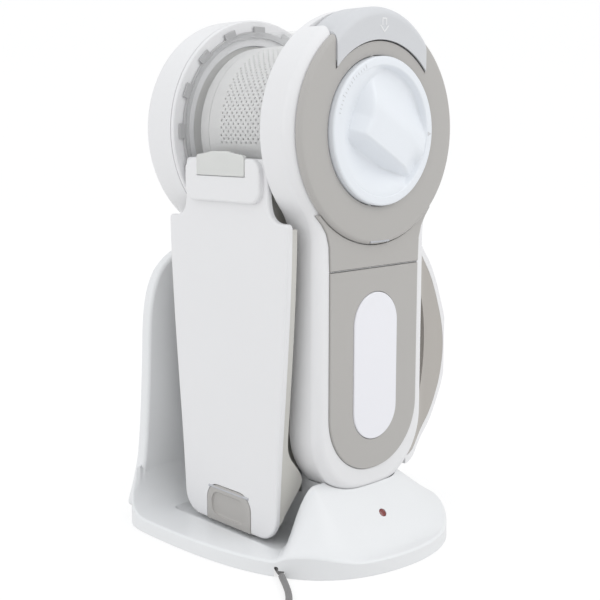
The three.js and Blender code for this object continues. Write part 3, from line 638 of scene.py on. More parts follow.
# ---- the stage
def backdrop():
    """A pale floor that curves up far away all round."""
    bm = bmesh.new()
    profile = [(0, 0), (2.6, 0), *[(2.6 + 1.4 * math.sin(a), 1.4 - 1.4 * math.cos(a))
                                  for a in (0.3, 0.6, 0.9, 1.2, 1.5)], (4.0, 3.0)]
    verts = [bm.verts.new((x, 0, z)) for x, z in profile]
    edges = [bm.edges.new(pair) for pair in zip(verts, verts[1:])]
    bmesh.ops.spin(bm, geom=verts + edges, cent=(0, 0, 0), axis=(0, 0, 1), angle=math.tau, steps=96,
                   use_merge=True)
    bmesh.ops.remove_doubles(bm, verts=bm.verts, dist=1e-4)
    floor = new_piece(bm, "backdrop")
    for face in floor.data.polygons:
        face.use_smooth = True
    material = bpy.data.materials.new("backdrop white")
    material.use_nodes = True
    tree = material.node_tree
    shader = tree.nodes["Principled BSDF"]
    shader.inputs["Base Color"].default_value = (0.3, 0.3, 0.3, 1)
    shader.inputs["Roughness"].default_value = 1.0
    shader.inputs["Specular IOR Level"].default_value = 0.0
    shader.inputs["Emission Color"].default_value = (1, 1, 1, 1)
    seen = tree.nodes.new("ShaderNodeLightPath").outputs["Is Camera Ray"]
    stage = bpy.context.scene.vacuum_stage
    extra = add_math(tree, "MULTIPLY", seen, stage.backdrop_seen - stage.backdrop_light)
    tree.links.new(add_math(tree, "ADD", extra, stage.backdrop_light), shader.inputs["Emission Strength"])
    floor.data.materials.append(material)


def soft_light(name, power, size, place, colour=(1, 1, 1)):
    lamp = bpy.data.lights.new(name, "AREA")
    lamp.energy = power
    lamp.size = size
    lamp.color = colour
    light = link(name, lamp)
    light.location = place
    light.rotation_euler = (Vector((0, 0, 0.16)) - Vector(place)).to_track_quat("-Z", "Y").to_euler()


class VACUUM_OT_stage(bpy.types.Operator):
    """Floor, soft studio lights and the camera"""

    bl_idname = "vacuum.stage"
    bl_label = "Stage"

    def execute(self, context):
        stage = context.scene.vacuum_stage
        backdrop()
        soft_light("key light", stage.key_power, 1.1, (1.2, 0.55, 1.2))
        soft_light("fill light", stage.fill_power, 1.4, (-0.5, -1.7, 0.8), (0.97, 0.98, 1))
        soft_light("top light", 0.8, 1.2, (0.2, 0.2, 1.7))
        world = bpy.data.worlds.new("studio")
        world.use_nodes = True
        background = world.node_tree.nodes["Background"]
        background.inputs["Color"].default_value = (0.97, 0.985, 1, 1)
        background.inputs["Strength"].default_value = stage.world
        context.scene.world = world
        context.scene.view_settings.view_transform = "Standard"
        turn = math.radians(CAMERA_TURN)
        tilt = math.radians(CAMERA_TILT)
        ahead = Vector((-math.sin(turn) * math.cos(tilt), math.cos(turn) * math.cos(tilt), -math.sin(tilt)))
        camera = link("camera", bpy.data.cameras.new("camera"))
        camera.location = CAMERA_AT
        camera.rotation_euler = ahead.to_track_quat("-Z", "Y").to_euler()
        camera.data.lens = stage.lens
        camera.data.sensor_width = 36
        camera.data.clip_start = 0.01
        context.scene.camera = camera
        return {"FINISHED"}


# ---- cord, coil and adapter
# The cord's free route, in millimetres from the stand's origin.
LEAD_ROUTE = [
    (EXIT[0] - EXIT_DIRECTION[0] * 2.8, EXIT[1] - EXIT_DIRECTION[1] * 2.8, LIE_Z),
    (76, -84.2, LIE_Z), (84, -90, LIE_Z), (91, -96.6, LIE_Z), (97, -104.5, LIE_Z),
    (102, -113.5, LIE_Z), (105.6, -123, LIE_Z), (108.4, -132.5, LIE_Z),
]
TAIL_ROUTE = [
    (117.1, -152.6, 13.3), (122.4, -158.6, 12), (129.8, -162.3, 9.8), (138.1, -163.2, 7.2),
    (150, -163.2, 4.4), (160, -163.2, 2.5), (167.3, -163.2, 2.1), (175, -161.1, 2.8),
    (180.6, -155.5, 4.4), (182.7, -147.8, 5.8),
]
COIL_START = 194.6            # degrees about the coil's centre
COIL_END_EXTRA = 15.4
POINTS_A_TURN = 16


def coil_route():
    """The turns, from the outer bottom one inwards, up a layer and outwards again, and so on."""
    turns = COIL_LAYERS * COIL_TURNS_WIDE
    last = turns * POINTS_A_TURN + round(COIL_END_EXTRA / 360 * POINTS_A_TURN)
    points = []
    for i in range(last + 1):
        turn = min(i / POINTS_A_TURN, turns)
        layer, across = [], []
        for whole in (math.floor(turn), math.floor(turn) + 1):
            whole = min(whole, turns - 1)
            row = whole // COIL_TURNS_WIDE
            column = whole % COIL_TURNS_WIDE
            layer.append(row)
            across.append(1 - column if row % 2 == 0 else column - 1)
        shift = smooth_step((turn % 1 - 0.75) / 0.25)
        radius = COIL_MEAN_R + COIL_PITCH * (across[0] + (across[1] - across[0]) * shift)
        z = LIE_Z + COIL_PITCH * (layer[0] + (layer[1] - layer[0]) * shift)
        a = math.radians(COIL_START + 360 * i / POINTS_A_TURN)
        points.append((COIL_CENTRE[0] + radius * math.cos(a), COIL_CENTRE[1] + radius * math.sin(a), z))
    return points


def cord_curve():
    curve = bpy.data.curves.new("charger_lead", "CURVE")
    curve.dimensions = "3D"
    curve.bevel_depth = CORD_D / 2 * MM
    curve.bevel_resolution = 3
    curve.use_fill_caps = True
    curve.resolution_u = 4
    route = [*LEAD_ROUTE, *coil_route(), *TAIL_ROUTE]
    spline = curve.splines.new("BEZIER")
    spline.bezier_points.add(len(route) - 1)
    for point, place in zip(spline.bezier_points, route):
        point.co = Vector(place) * MM
        point.handle_left_type = "AUTO"
        point.handle_right_type = "AUTO"
    return link("charger_lead", curve)


def strain_relief():
    """A ribbed, tapering sleeve in the stand's rim, in line with the cord."""
    length, ribs = 22.0, 5
    profile = [(-length + 1, 0), (-length + 1, 3.0)]
    for i in range(ribs):
        start = -15.5 + i * 3.0
        r = 2.95 - 0.14 * i
        profile += [(start, r), (start + 0.3, r - 0.5), (start + 1.0, r - 0.5), (start + 1.3, r)]
    profile += [(0.6, 2.15), (1.0, 1.95), (1.0, 0)]
    sleeve = lathe("strain_relief_sleeve", profile, "X", 48)
    x, y = [a - 7.0 * b for a, b in zip(EXIT, EXIT_DIRECTION)]
    return move(sleeve, place(x, y, 3.1, EXIT_TURN))


def coil_tie():
    inner = COIL_MEAN_R - COIL_PITCH * COIL_TURNS_WIDE / 2 - GAP
    outer = COIL_MEAN_R + COIL_PITCH * COIL_TURNS_WIDE / 2 + GAP
    high = COIL_PITCH * COIL_LAYERS + 0.15 + GAP
    section = rounded_box((inner - 1.3, 0.1), (outer + 1.3, high + 1.3), 1.6)
    band = slab("coil_tie", section, "Y", -4, 4, 0.4, 0.4, 2)
    carve(band, block("tie_space", (inner, -9, -5), (outer, 9, high)))
    return move(band, place(*COIL_CENTRE, turn=math.radians(TIE_ANGLE)))


def adapter():
    long, wide, high = ADAPTER_SIZE
    body = slab("wall_adapter_case", rounded_box((-wide / 2, 0), (wide / 2, high), 4), "X",
                -long / 2, long / 2, 2.2, 2.2, 4)
    seam = slab("seam", rounded_box((-wide / 2 - 1, -1), (wide / 2 + 1, high + 1), 5), "X", 14.6, 15.1)
    section = rounded_box((-wide / 2 + 0.5, 0.5), (wide / 2 - 0.5, high - 0.5), 3.6)
    core = slab("seam_core", section, "X", 14, 16)
    carve(body, carve(seam, core))
    boot = [(-long / 2 - 12.5, 0), (-long / 2 - 12.5, 2.3)]
    for i in range(4):
        start = -long / 2 - 12.0 + i * 2.9
        r = 2.6 + 0.33 * i
        boot += [(start, r), (start + 1.8, r + 0.15), (start + 2.0, r - 0.4), (start + 2.9, r - 0.35)]
    boot += [(-long / 2 - 0.6, 4.2), (-long / 2 + 1, 4.4), (-long / 2 + 1, 0)]
    join(body, move(lathe("boot", boot, "X", 40), place(z=6)))
    return move(body, place(*ADAPTER_CENTRE, turn=math.radians(90)))


class VACUUM_OT_cord(bpy.types.Operator):
    """The charger lead with its coil, tie, strain relief and wall adapter"""

    bl_idname = "vacuum.cord"
    bl_label = "Charger lead"

    def execute(self, context):
        cord = cord_curve()
        cord.data.materials.append(finish_for("cord_grey"))
        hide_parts("cord", "cord_coil", "cord_tail")
        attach(cord, "stand")
        sleeve = settle(strain_relief(), "stand", "cord_grey", ["cord_strain_relief"], lift=0)
        tie = settle(coil_tie(), "stand", "rubber_dark", ["cord_tie"], lift=0)
        case = settle(adapter(), "stand", "adapter_grey", ["wall_adapter"], lift=0)
        return {"FINISHED"}


# ---- charging stand
def foot_curve(x):
    """How far the hollow curve at the backrest's foot has risen."""
    reach = 26.0
    into = min(max((BACKREST_IN + reach - 0.4 - x) / reach, 0.0), 0.995)
    return reach * (1 - math.sqrt(1 - into * into))


def stand_height(x, y):
    """The stand's upper surface: a flat plate, the cradle's mound, and a hollow curve up to the backrest."""
    ahead = 1 - smooth_step((x - 46) / 50)
    apron = 16 + 26 * smooth_step((x - 44) / 22)
    tuck = 34 * smooth_step((-38 - x) / 14)
    front = 1 - smooth_step((-y - 42 + tuck) / apron)
    rear = 1 - smooth_step((y - 10) / 73)
    behind = smooth_step((x + 64) / 20)
    height = RIM_H + MOUND * ahead * behind * front * rear
    return height + foot_curve(x)


def stand_plate():
    outline = stand_outline()
    middle = Vector(STAND_MID)
    insets = [0.15 * k for k in range(1, 15)] + [2.2 + 0.55 * k for k in range(1, 23)]
    insets += [14.3 + 1.1 * k for k in range(1, 21)]
    steps = [1 - k / 26 for k in range(1, 26)]
    bm = bmesh.new()
    outline = [(x, y * (1 - 0.095 * smooth_step(foot_curve(x) / 23))) for x, y in outline]
    low = [bm.verts.new((x, y, 0.6)) for x, y in outline]
    foot = [bm.verts.new((*(middle + (Vector(p) - middle) * 0.992), 0.0)) for p in outline]
    loops = [foot, low]
    for inset in insets:
        ring = []
        for p in outline:
            out = Vector(p) - middle
            spot = middle + out * (1 - inset / out.length)
            drop = 2.0 - math.sqrt(max(0.0, 4.0 - (2.0 - min(inset, 2.0)) ** 2))
            ring.append(bm.verts.new((spot.x, spot.y, stand_height(spot.x, spot.y) - drop)))
        loops.append(ring)
    reach = insets[-1]
    for step in steps:
        ring = []
        for p in outline:
            out = Vector(p) - middle
            spot = middle + out * (1 - reach / out.length) * step
            ring.append(bm.verts.new((spot.x, spot.y, stand_height(spot.x, spot.y))))
        loops.append(ring)
    edges = []
    for ring in loops:
        edges.append([bm.edges.new((ring[i], ring[i - 1])) for i in range(len(ring))])
    for lower, upper in zip(edges, edges[1:]):
        bmesh.ops.bridge_loops(bm, edges=lower + upper)
    bm.faces.new(loops[-1])
    bm.faces.new(foot)
    return new_piece(bm, "stand_shell")


def cradle_cutters():
    """The vacuum's underside, grown by its clearance, in the stand's frame."""
    spread = 0.5
    low, high = POD_IN - spread, POD_OUT + spread
    arm, other = [slab("arm_space", keyhole(-spread), "X", low, high, 0, EDGE_ROUND, 8) for _ in range(2)]
    mirror_x(other)
    core = slab("core_space", rounded_box((CORE_LOW[0] - spread, CORE_LOW[1] - spread),
                                          (CORE_HIGH[0] + spread, CORE_HIGH[1] + spread), 10), "X", -42, 42)
    panels = slab("panel_space", panel_outline(-spread), "X", -POD_OUT - 2, POD_OUT + 2)
    root = block("root_space", (-59, ARM_HALF - 2, -213.1), (59, 78, -150))
    pocket = slab("pocket", [(-49.5, -238.6), (49.5, -238.6), (56, -190), (-56, -190)], "Y", -66, -30)
    round_edges(pocket, 5, 5, 30)
    channel = block("channel", (-32, -66, -214), (32, -14, -150))
    cutters = [arm, other, core, panels, root, pocket, channel]
    for cutter in cutters:
        move(cutter, place(z=PIVOT_Z))
    return cutters


def exit_notch():
    notch = block("exit_notch", (-29, -3.6, -1), (-5.6, 3.6, 6.3), 1.0)
    join(notch, block("cord_way", (-8, -2.1, -1), (8, 2.1, 4.1), 0.9))
    return move(notch, place(*EXIT, turn=EXIT_TURN))


def lamp_seat():
    """Where the lamp sits, square to the stand's slope."""
    x, y = LAMP_AT
    slope = (stand_height(x + 1, y) - stand_height(x - 1, y)) / 2
    return place(x, y, stand_height(x, y), -math.atan(slope), "Y")


class VACUUM_OT_stand(bpy.types.Operator):
    """Charging stand: plate, cradle mound, backrest and lamp"""

    bl_idname = "vacuum.stand"
    bl_label = "Charging stand"

    def execute(self, context):
        plate = stand_plate()
        under = slab("under", stand_outline(9), "Z", -1, 2.7)
        lamp_hole = move(rod("lamp_hole", 2.6, -5, 8, "Z", 40), lamp_seat())
        contacts = [move(rod("contact_hole", 2.7, 20, 60, "Z", 32), place(x, 20)) for x in (-12, 12)]
        carve(plate, *cradle_cutters(), under, lamp_hole, exit_notch(), *contacts)
        join(plate, slab("wall", backrest_outline(), "X", BACKREST_OUT, BACKREST_IN, 2.5, 2.5, 5))
        settle(plate, "stand", "stand_white", ["stand_body"], lift=0, sharp=38)
        dome = [(-4, 0), (-4, 2.5), (-0.4, 2.5), (-0.1, 2.2), (0.1, 1.2), (0.15, 0)]
        lamp = move(lathe("lamp_lens", dome, "Z", 40), lamp_seat())
        settle(lamp, "stand", "lamp_red", ["charge_lamp"], lift=0)
        return {"FINISHED"}


# ---- arms, panels and badges
def upper_panel_outline(spread=0.0):
    low = -77 - spread
    half = [(0, low), (37.5 + spread, low), (38 + spread, -63), (40 + spread, -56), (43.5 + spread, -50.5),
            (48 + spread, -45), (0, -45)]
    return both_sides(half)


def latch_pocket(outer):
    outline = upright_sector(LATCH_LOW_R - 3.1, LATCH_HALF + 0.4)
    return slab("latch_pocket", outline, "X", LATCH_IN - 1, outer)


def arm_housing(right):
    name = "arm_housing_right" if right else "arm_housing_left"
    shell = slab(name, keyhole(), "X", POD_IN, POD_OUT, 1.2, EDGE_ROUND, 10)
    core = slab("core", rounded_box(CORE_LOW, CORE_HIGH, 10), "X", 0.15, POD_IN + 4)
    join(shell, core)
    cavity = slab("cavity", keyhole(WALL), "X", POD_IN + WALL, POD_OUT - WALL - 1, 0, 3, 4)
    inner_low = (CORE_LOW[0] + WALL, CORE_LOW[1] + WALL)
    inner_high = (CORE_HIGH[0] - WALL, CORE_HIGH[1] - WALL)
    core_cavity = slab("core_cavity", rounded_box(inner_low, inner_high, 8), "X", -1, POD_IN + 3)
    drum_hole = rod("drum_hole", 52.5, POD_IN - 2, POD_IN + 6)
    disc = (RING_R if right else POD_R) + 0.6
    recess = slab("recess", panel_outline(-0.35), "X", POD_OUT - 1.7, POD_OUT + 2)
    upper = slab("upper_recess", upper_panel_outline(0.35), "X", POD_OUT - 1.7, POD_OUT + 2)
    carve(shell, cavity, core_cavity, drum_hole, recess, upper)
    if right:
        carve(shell, rod("doorway", 56, POD_OUT - 6, POD_OUT + 2), latch_pocket(POD_OUT + 3))
    else:
        seam = slab("seam", keyhole(-2), "X", 40.1, 40.75)
        carve(seam, slab("seam_core", keyhole(1.1), "X", 39, 42))
        rim = [(POD_OUT - 12, POD_R - 12), (POD_OUT - 12, POD_R - 0.02), (GRILLE_FACE - 8, POD_R - 0.02)]
        rim += round_corner(GRILLE_FACE - 8, POD_R - 8, 8, (0.2, 0.45, 0.7, 0.95, 1.2, 1.57))
        rim += [(GRILLE_FACE, POD_R - 9), (POD_OUT + 0.1, POD_R - 9), (POD_OUT - 4, POD_R - 12)]
        join(shell, lathe("pod_rim", rim, "X", 160))
        carve(shell, rod("fan_opening", 50, POD_OUT - 6, POD_OUT + 2), seam)
        mirror_x(shell)
    settle(shell, "vacuum_body", "shell_white",
           ["right_housing" if right else "left_housing"])
    return disc


def grip_panels(right, disc):
    side = "right" if right else "left"
    panel = slab(f"grip_panel_{side}", panel_outline(), "X", POD_OUT - 1.3, POD_OUT + 1.2, 0, 0.9, 4)
    carve(panel, slab("badge_seat", badge_outline(-0.35), "X", POD_OUT - 0.2, POD_OUT + 3))
    upper = slab(f"upper_panel_{side}", upper_panel_outline(), "X", POD_OUT - 1.3, POD_OUT + 1.2, 0, 0.5, 3)
    carve(upper, rod("disc", disc, 50, 70, "X", 160))
    badge = slab(f"badge_{side}", badge_outline(), "X", POD_OUT + 0.1, POD_OUT + 1.9, 0, 0.8, 5)
    # A dark strip down in the groove between the grip panel and the upper panel: painted shade standing in
    # for the groove's shadow.
    seam = block(f"painted_shade_seam_{side}", (POD_OUT - 1.6, -37.4, -77.95), (POD_OUT - 0.5, 37.4, -77.05))
    if not right:
        for piece in (panel, upper, badge, seam):
            mirror_x(piece)
    settle(panel, "vacuum_body", "soft_grey", [f"{side}_grip_panel"])
    settle(upper, "vacuum_body", "soft_grey", [f"{side}_upper_panel"])
    settle(badge, "vacuum_body", "badge_white", [f"{side}_badge"])
    # The dark rubber finish on this strip is painted shade.
    settle(seam, "vacuum_body", "rubber_dark")


class VACUUM_OT_arms(bpy.types.Operator):
    """The two white arm housings with their grey panels and white badges"""

    bl_idname = "vacuum.arms"
    bl_label = "Arm housings"

    def execute(self, context):
        for right in (True, False):
            disc = arm_housing(right)
            grip_panels(right, disc)
        return {"FINISHED"}


# ---- side door, cleaning wheel and latch
class VACUUM_OT_side_door(bpy.types.Operator):
    """The grey ring of the side door, with the hub that carries the wheel"""

    bl_idname = "vacuum.side_door"
    bl_label = "Side door"

    def execute(self, context):
        back = POD_OUT + GAP
        profile = [(back, RING_HOLE_R), (RING_FACE - 1.6, RING_HOLE_R)]
        profile += [(RING_FACE - 1.6 + 0.8 * math.sin(a), RING_HOLE_R + 0.8 - 0.8 * math.cos(a))
                    for a in (0.5, 1.0, 1.57)]
        profile += [(RING_FACE - 0.25, 46), (RING_FACE, 50), (RING_FACE, 58)]
        profile += [(RING_FACE - 3 + 3 * math.cos(a), RING_R - 3 + 3 * math.sin(a))
                    for a in (0.2, 0.5, 0.8, 1.1, 1.4, 1.57)]
        profile += [(back, RING_R)]
        ring = lathe("side_door_ring", profile, "X", 192)
        hub = [(POD_OUT - 4, RING_HOLE_R), (POD_OUT + 2, RING_HOLE_R), (POD_OUT + 2, 45), (POD_OUT - 4, 45)]
        spider = block("spider", (POD_OUT - 4, -43, -5), (POD_OUT - 2, 43, 5))
        carve(spider, rod("bearing", 7.5, 50, 70))
        join(ring, lathe("hub", hub), spider)
        carve(ring, latch_pocket(RING_FACE + 2))
        round_edges(ring, 0.35, 2, 50)
        settle(ring, "side_door", "soft_grey", ["door_ring"])
        return {"FINISHED"}


def ramp(t, ease=0.12):
    """A straight rise from 0 to 1 with eased ends."""
    t = min(max(t, 0.0), 1.0)
    if t < ease:
        return t * t / (2 * ease * (1 - ease))
    if t > 1 - ease:
        return 1 - (1 - t) ** 2 / (2 * ease * (1 - ease))
    return (t - ease / 2) / (1 - ease)


def dish_level(y, z):
    """How far out the wheel's dished face stands: a grip ridge with a steep side between two scoops."""
    tilt = math.radians(GRIP_TILT)
    along = y * math.cos(tilt) + z * math.sin(tilt)
    across = -y * math.sin(tilt) + z * math.cos(tilt)
    radius = math.hypot(y, z)
    floor = 61.2
    steep = ramp((across + 16.5) / 6.8, 0.15)
    easy = 1 - 0.68 * smooth_step((across - 6) / 24)
    left_end = ramp((along + 26 + max(0.0, across) * 0.25) / 12, 0.25)
    right_end = 1 - 0.5 * smooth_step((along - 22) / 14) * (1 - smooth_step((across + 4) / 10))
    ridge = (GRIP_TOP - 2.0 * smooth_step((along - 6) / 30) - floor) * steep * easy * left_end * right_end
    rise = (WHEEL_FACE - 0.5 - floor) * smooth_step((radius - 17) / (WHEEL_DISH_R - 17))
    lower = 1 - smooth_step((across + 21) / 10)
    left = smooth_step((-along - 14) / 12)
    side = 0.5 + 0.5 * max(lower, left)
    return floor + max(ridge, rise * side)


def cleaning_wheel():
    rim = WHEEL_R
    face = WHEEL_FACE
    profile = [(POD_OUT - 1.5, 0), (POD_OUT - 1.5, rim - 0.4), (POD_OUT - 1.1, rim), (face - 1.4, rim)]
    profile += round_corner(face - 1.4, rim - 1.4, 1.4, (0.3, 0.6, 0.9, 1.2, 1.57))
    profile += [(face, WHEEL_DISH_R + 0.8), (face - 0.15, WHEEL_DISH_R + 0.3), (face - 0.5, WHEEL_DISH_R)]
    rings = 60
    profile += [(face - 0.5, WHEEL_DISH_R * (1 - i / rings)) for i in range(1, rings)]
    profile += [(face - 0.5, 0)]
    wheel = lathe("cleaning_wheel_dial", profile, "X", 192)
    for vertex in wheel.data.vertices:
        radius = math.hypot(vertex.co.y, vertex.co.z)
        if vertex.co.x > face - 0.6 and radius < WHEEL_DISH_R - 0.2:
            edge = smooth_step((WHEEL_DISH_R - radius) / 1.6)
            level = dish_level(vertex.co.y, vertex.co.z)
            vertex.co.x += (level - vertex.co.x) * edge
    return wheel


def rim_marks(count):
    """Fine moulded ticks on the wheel's rim and a small pointer beside the ridge's end."""
    pointer = [(-1.6, -1.3), (1.7, 0), (-1.6, 1.3)]
    marks = slab("wheel_rim_marks", pointer, "X", WHEEL_FACE - 0.3, WHEEL_FACE + 0.12)
    move(marks, place(0, 38.9, -1.5))
    ticks = []
    for i in range(count):
        length = 2.4 if i % 5 == 0 else 1.4
        tick = block("tick", (WHEEL_FACE - 0.3, 37.7, -0.22), (WHEEL_FACE + 0.1, 37.7 + length, 0.22))
        move(tick, place(turn=math.radians(115 + 50 * i / max(1, count - 1)), axis="X"))
        ticks.append(tick)
    return join(marks, *ticks) if ticks else marks


class VACUUM_OT_cleaning_wheel(bpy.types.Operator):
    """The filter-cleaning wheel with its dished grip"""

    bl_idname = "vacuum.cleaning_wheel"
    bl_label = "Cleaning wheel"

    def execute(self, context):
        settle(cleaning_wheel(), "cleaning_wheel", "wheel_white", ["cleaning_wheel"], sharp=45)
        marks = rim_marks(context.scene.vacuum_detail.rim_ticks)
        settle(marks, "cleaning_wheel", "latch_grey")
        return {"FINISHED"}


def arrow_outline(inset):
    return both_sides([(0, 54.4 + inset * 1.5), (3.9 - inset * 1.6, 58.4), (1.9 - inset, 58.4 + inset * 0.2),
                       (1.9 - inset, 62.6 - inset), (0, 62.6 - inset)])


def arrow_frame():
    outer = slab("latch_arrow", arrow_outline(0), "X", RING_FACE + 0.9, RING_FACE + 1.35)
    return carve(outer, slab("arrow_core", arrow_outline(0.7), "X", RING_FACE, RING_FACE + 3))


class VACUUM_OT_latch(bpy.types.Operator):
    """The release latch on top of the pod, with its arrow"""

    bl_idname = "vacuum.latch"
    bl_label = "Release latch"

    def execute(self, context):
        form = upright_sector(LATCH_LOW_R, LATCH_HALF)
        latch = slab("release_latch_cap", form, "X", LATCH_IN, RING_FACE + 0.9)
        crown = slab("crown", arc(0, 16.6, 52.2, 0, 357, 3), "X", 20, RING_FACE + 1.2, 0, 5.5, 8)
        edge = upright_sector(LATCH_LOW_R - 2.3, LATCH_HALF)
        lip = slab("lip", edge, "X", RING_FACE + 0.25, RING_FACE + 1.2)
        join(latch, lip)
        keep_inside(latch, crown)
        round_edges(latch, 0.6, 3, 45)
        settle(latch, "latch", "latch_grey", ["release_latch"])
        settle(arrow_frame(), "latch", "shell_white")
        return {"FINISHED"}


# ---- loop handle and switch
def bow_outer():
    start = ARM_HALF + GAP
    return [(start, -62), *bezier((start, -62), (84, -67), (104, -92), (118.5, -122), 18)[1:],
            *bezier((118.5, -122), (127, -141), (126, -158), (117.5, -175), 12)[1:],
            *bezier((117.5, -175), (106, -194), (84, -209), (62, -BOW_LOW), 14)[1:],
            (start, -BOW_LOW)]


def bow_inner():
    start = ARM_HALF + GAP
    return [(start, -187), *bezier((54, -187), (76, -187), (88, -165), (88, -138), 16),
            *bezier((88, -138), (88, -112), (76, -93), (54, -91), 16)[1:], (start, -91)]


def offset_path(points, distance):
    start = ARM_HALF + GAP
    moved = []
    for i, p in enumerate(points):
        before = Vector(points[max(0, i - 1)])
        after = Vector(points[min(len(points) - 1, i + 1)])
        along = (after - before).normalized()
        moved.append((max(start, p[0] - along.y * distance), p[1] + along.x * distance))
    return moved


def flare():
    side = [(0, 40), (48, 40), *bezier((48, 46), (46, 58), (30, 76), (26.5, 92), 14),
            *bezier((26.5, 92), (24, 102), (20, 112), (18.5, 121), 8)[1:], (0, 121)]
    return slab("flare", both_sides(side), "Z", -225, -50)


class VACUUM_OT_handle(bpy.types.Operator):
    """The loop handle: white spine, soft grip and power switch"""

    bl_idname = "vacuum.handle"
    bl_label = "Loop handle"

    def execute(self, context):
        slope = math.atan2(-9, 84 - ARM_HALF - GAP)
        seat = place(0, 66, -66.7, slope, "X")
        outer = bow_outer()
        band = tidy([*outer, *reversed(offset_path(outer, -SPINE_THICK))])
        spine = slab("handle_spine_band", band, "X", -58, 58)
        keep_inside(spine, flare())
        carve(spine, move(block("slot", (-6.5, -15, -2.5), (6.5, 15, 8)), seat))
        round_edges(spine, 1.5, 4, 42)
        settle(spine, "vacuum_body", "shell_white", ["handle_spine"])
        loop = tidy([*offset_path(outer, -SPINE_THICK - GAP), *bow_inner()])
        grip = slab("handle_grip_loop", loop, "X", -57, 57)
        keep_inside(grip, flare())
        round_edges(grip, 3.0, 5, 42)
        # A darker copy of the soft grey finish: painted shade for the shadowed grip.
        tone = soft_touch("painted shade grip grey", context.scene.vacuum_colours.grip)
        settle(grip, "vacuum_body", "soft_grey", ["handle_grip"], tone)
        cap = block("power_switch_cap", (-5.8, -14, -2), (5.8, 4, 2.6), 0.9)
        for i in range(4):
            rib = lathe("rib", [(-5.0, 0), (-5.0, 0.8), (5.0, 0.8), (5.0, 0)], "X", 20)
            join(cap, move(rib, place(0, -9.5 + i * 3.0, 2.6)))
        settle(move(cap, seat), "switch", "latch_grey", ["power_switch"])
        return {"FINISHED"}


# ---- nozzle
def bowl_space():
    return rod("bowl_space", BOWL_R + GAP, -50, 50, "X", 160)


def nozzle_cover():
    cover = slab("nozzle_cover_shell", nozzle_outline(), "Y", PLATE_Y, PLATE_Y + COVER_THICK, 1.4, 0, 5)
    pad = slab("neck_pad", rounded_box((-33, -40), (33, NECK_TOP + 0.2), 8), "Y", -64, PLATE_Y + 1, 1.6, 0, 5)
    join(cover, pad)
    seat = block("window_seat", (-21.4, -70, -25.4), (21.4, -62, 0))
    flap_seat = slab("flap_seat", flap_outline(0.5), "Y", -70, PLATE_Y + COVER_THICK - 0.8)
    carve(cover, seat, flap_seat, bowl_space())
    return cover


def nozzle_duct():
    back = WIDE_BACK
    side = [(DUCT_FRONT, -53), (DUCT_FRONT, -230), (-52, -221),
            *bezier((-42, -208), (-38, -203), (-38, -200), (-46, -191), 6),
            *bezier((-46, -191), (back, -184), (back, -180), (back, -172), 6)[1:], (back, -53)]
    duct = slab("nozzle_duct_body", tidy(side), "X", -54, 54)
    keep_inside(duct, slab("front_form", nozzle_outline(1.2), "Y", -70, -20))
    channel = slab("channel", rounded_box((DUCT_FRONT, -200), (-24, -22), 5), "X", -30, 30, 2, 2, 4)
    join(duct, channel)
    passage = block("passage", (-27.6, DUCT_FRONT + 2.2, -214), (27.6, -26.4, -24))
    mouth = block("mouth", (-38, DUCT_FRONT + 2.2, -240), (38, -30, -206))
    funnel = block("funnel", (-34, DUCT_FRONT + 2.2, -214), (34, -40, -192))
    carve(duct, bowl_space(), passage, mouth, funnel)
    return duct


class VACUUM_OT_nozzle(bpy.types.Operator):
    """The folded nozzle: white cover, grey duct, neck window and tip flap"""

    bl_idname = "vacuum.nozzle"
    bl_label = "Nozzle"

    def execute(self, context):
        settle(nozzle_cover(), "nozzle", "shell_white", ["nozzle_cover"])
        settle(nozzle_duct(), "nozzle", "duct_grey", ["nozzle_duct"])
        half = [(0, -25), (20.4, -25), (21, -24.4), (21, -14.5), (20, -13), (13, -12.2), (7, -11), (0, -11)]
        window = slab("neck_window_pane", both_sides(half), "Y", -64.6, -62.3, 0.5, 0, 3)
        milky = clear_plastic("clear window", 0.72, (0.84, 0.85, 0.83))
        settle(window, "nozzle", "clear", ["neck_window"], milky)
        catch = block("window_catch", (-5.2, -63.2, -15.0), (5.2, -62.35, -12.6), 0.3, 2)
        settle(catch, "nozzle", "latch_grey")
        flap = slab("tip_flap_plate", flap_outline(), "Y", FLAP_FRONT, -57.9, 0.7, 0, 3)
        hollow = rounded_box((-15.4, -232.3), (15.4, -217.2), 6)
        carve(flap, slab("flap_dish", hollow, "Y", FLAP_FRONT - 2, FLAP_FRONT + 1.4, 0, 1.2, 4))
        round_edges(flap, 0.5, 3, 50)
        settle(flap, "tip_flap", "soft_grey", ["tip_flap"])
        return {"FINISHED"}


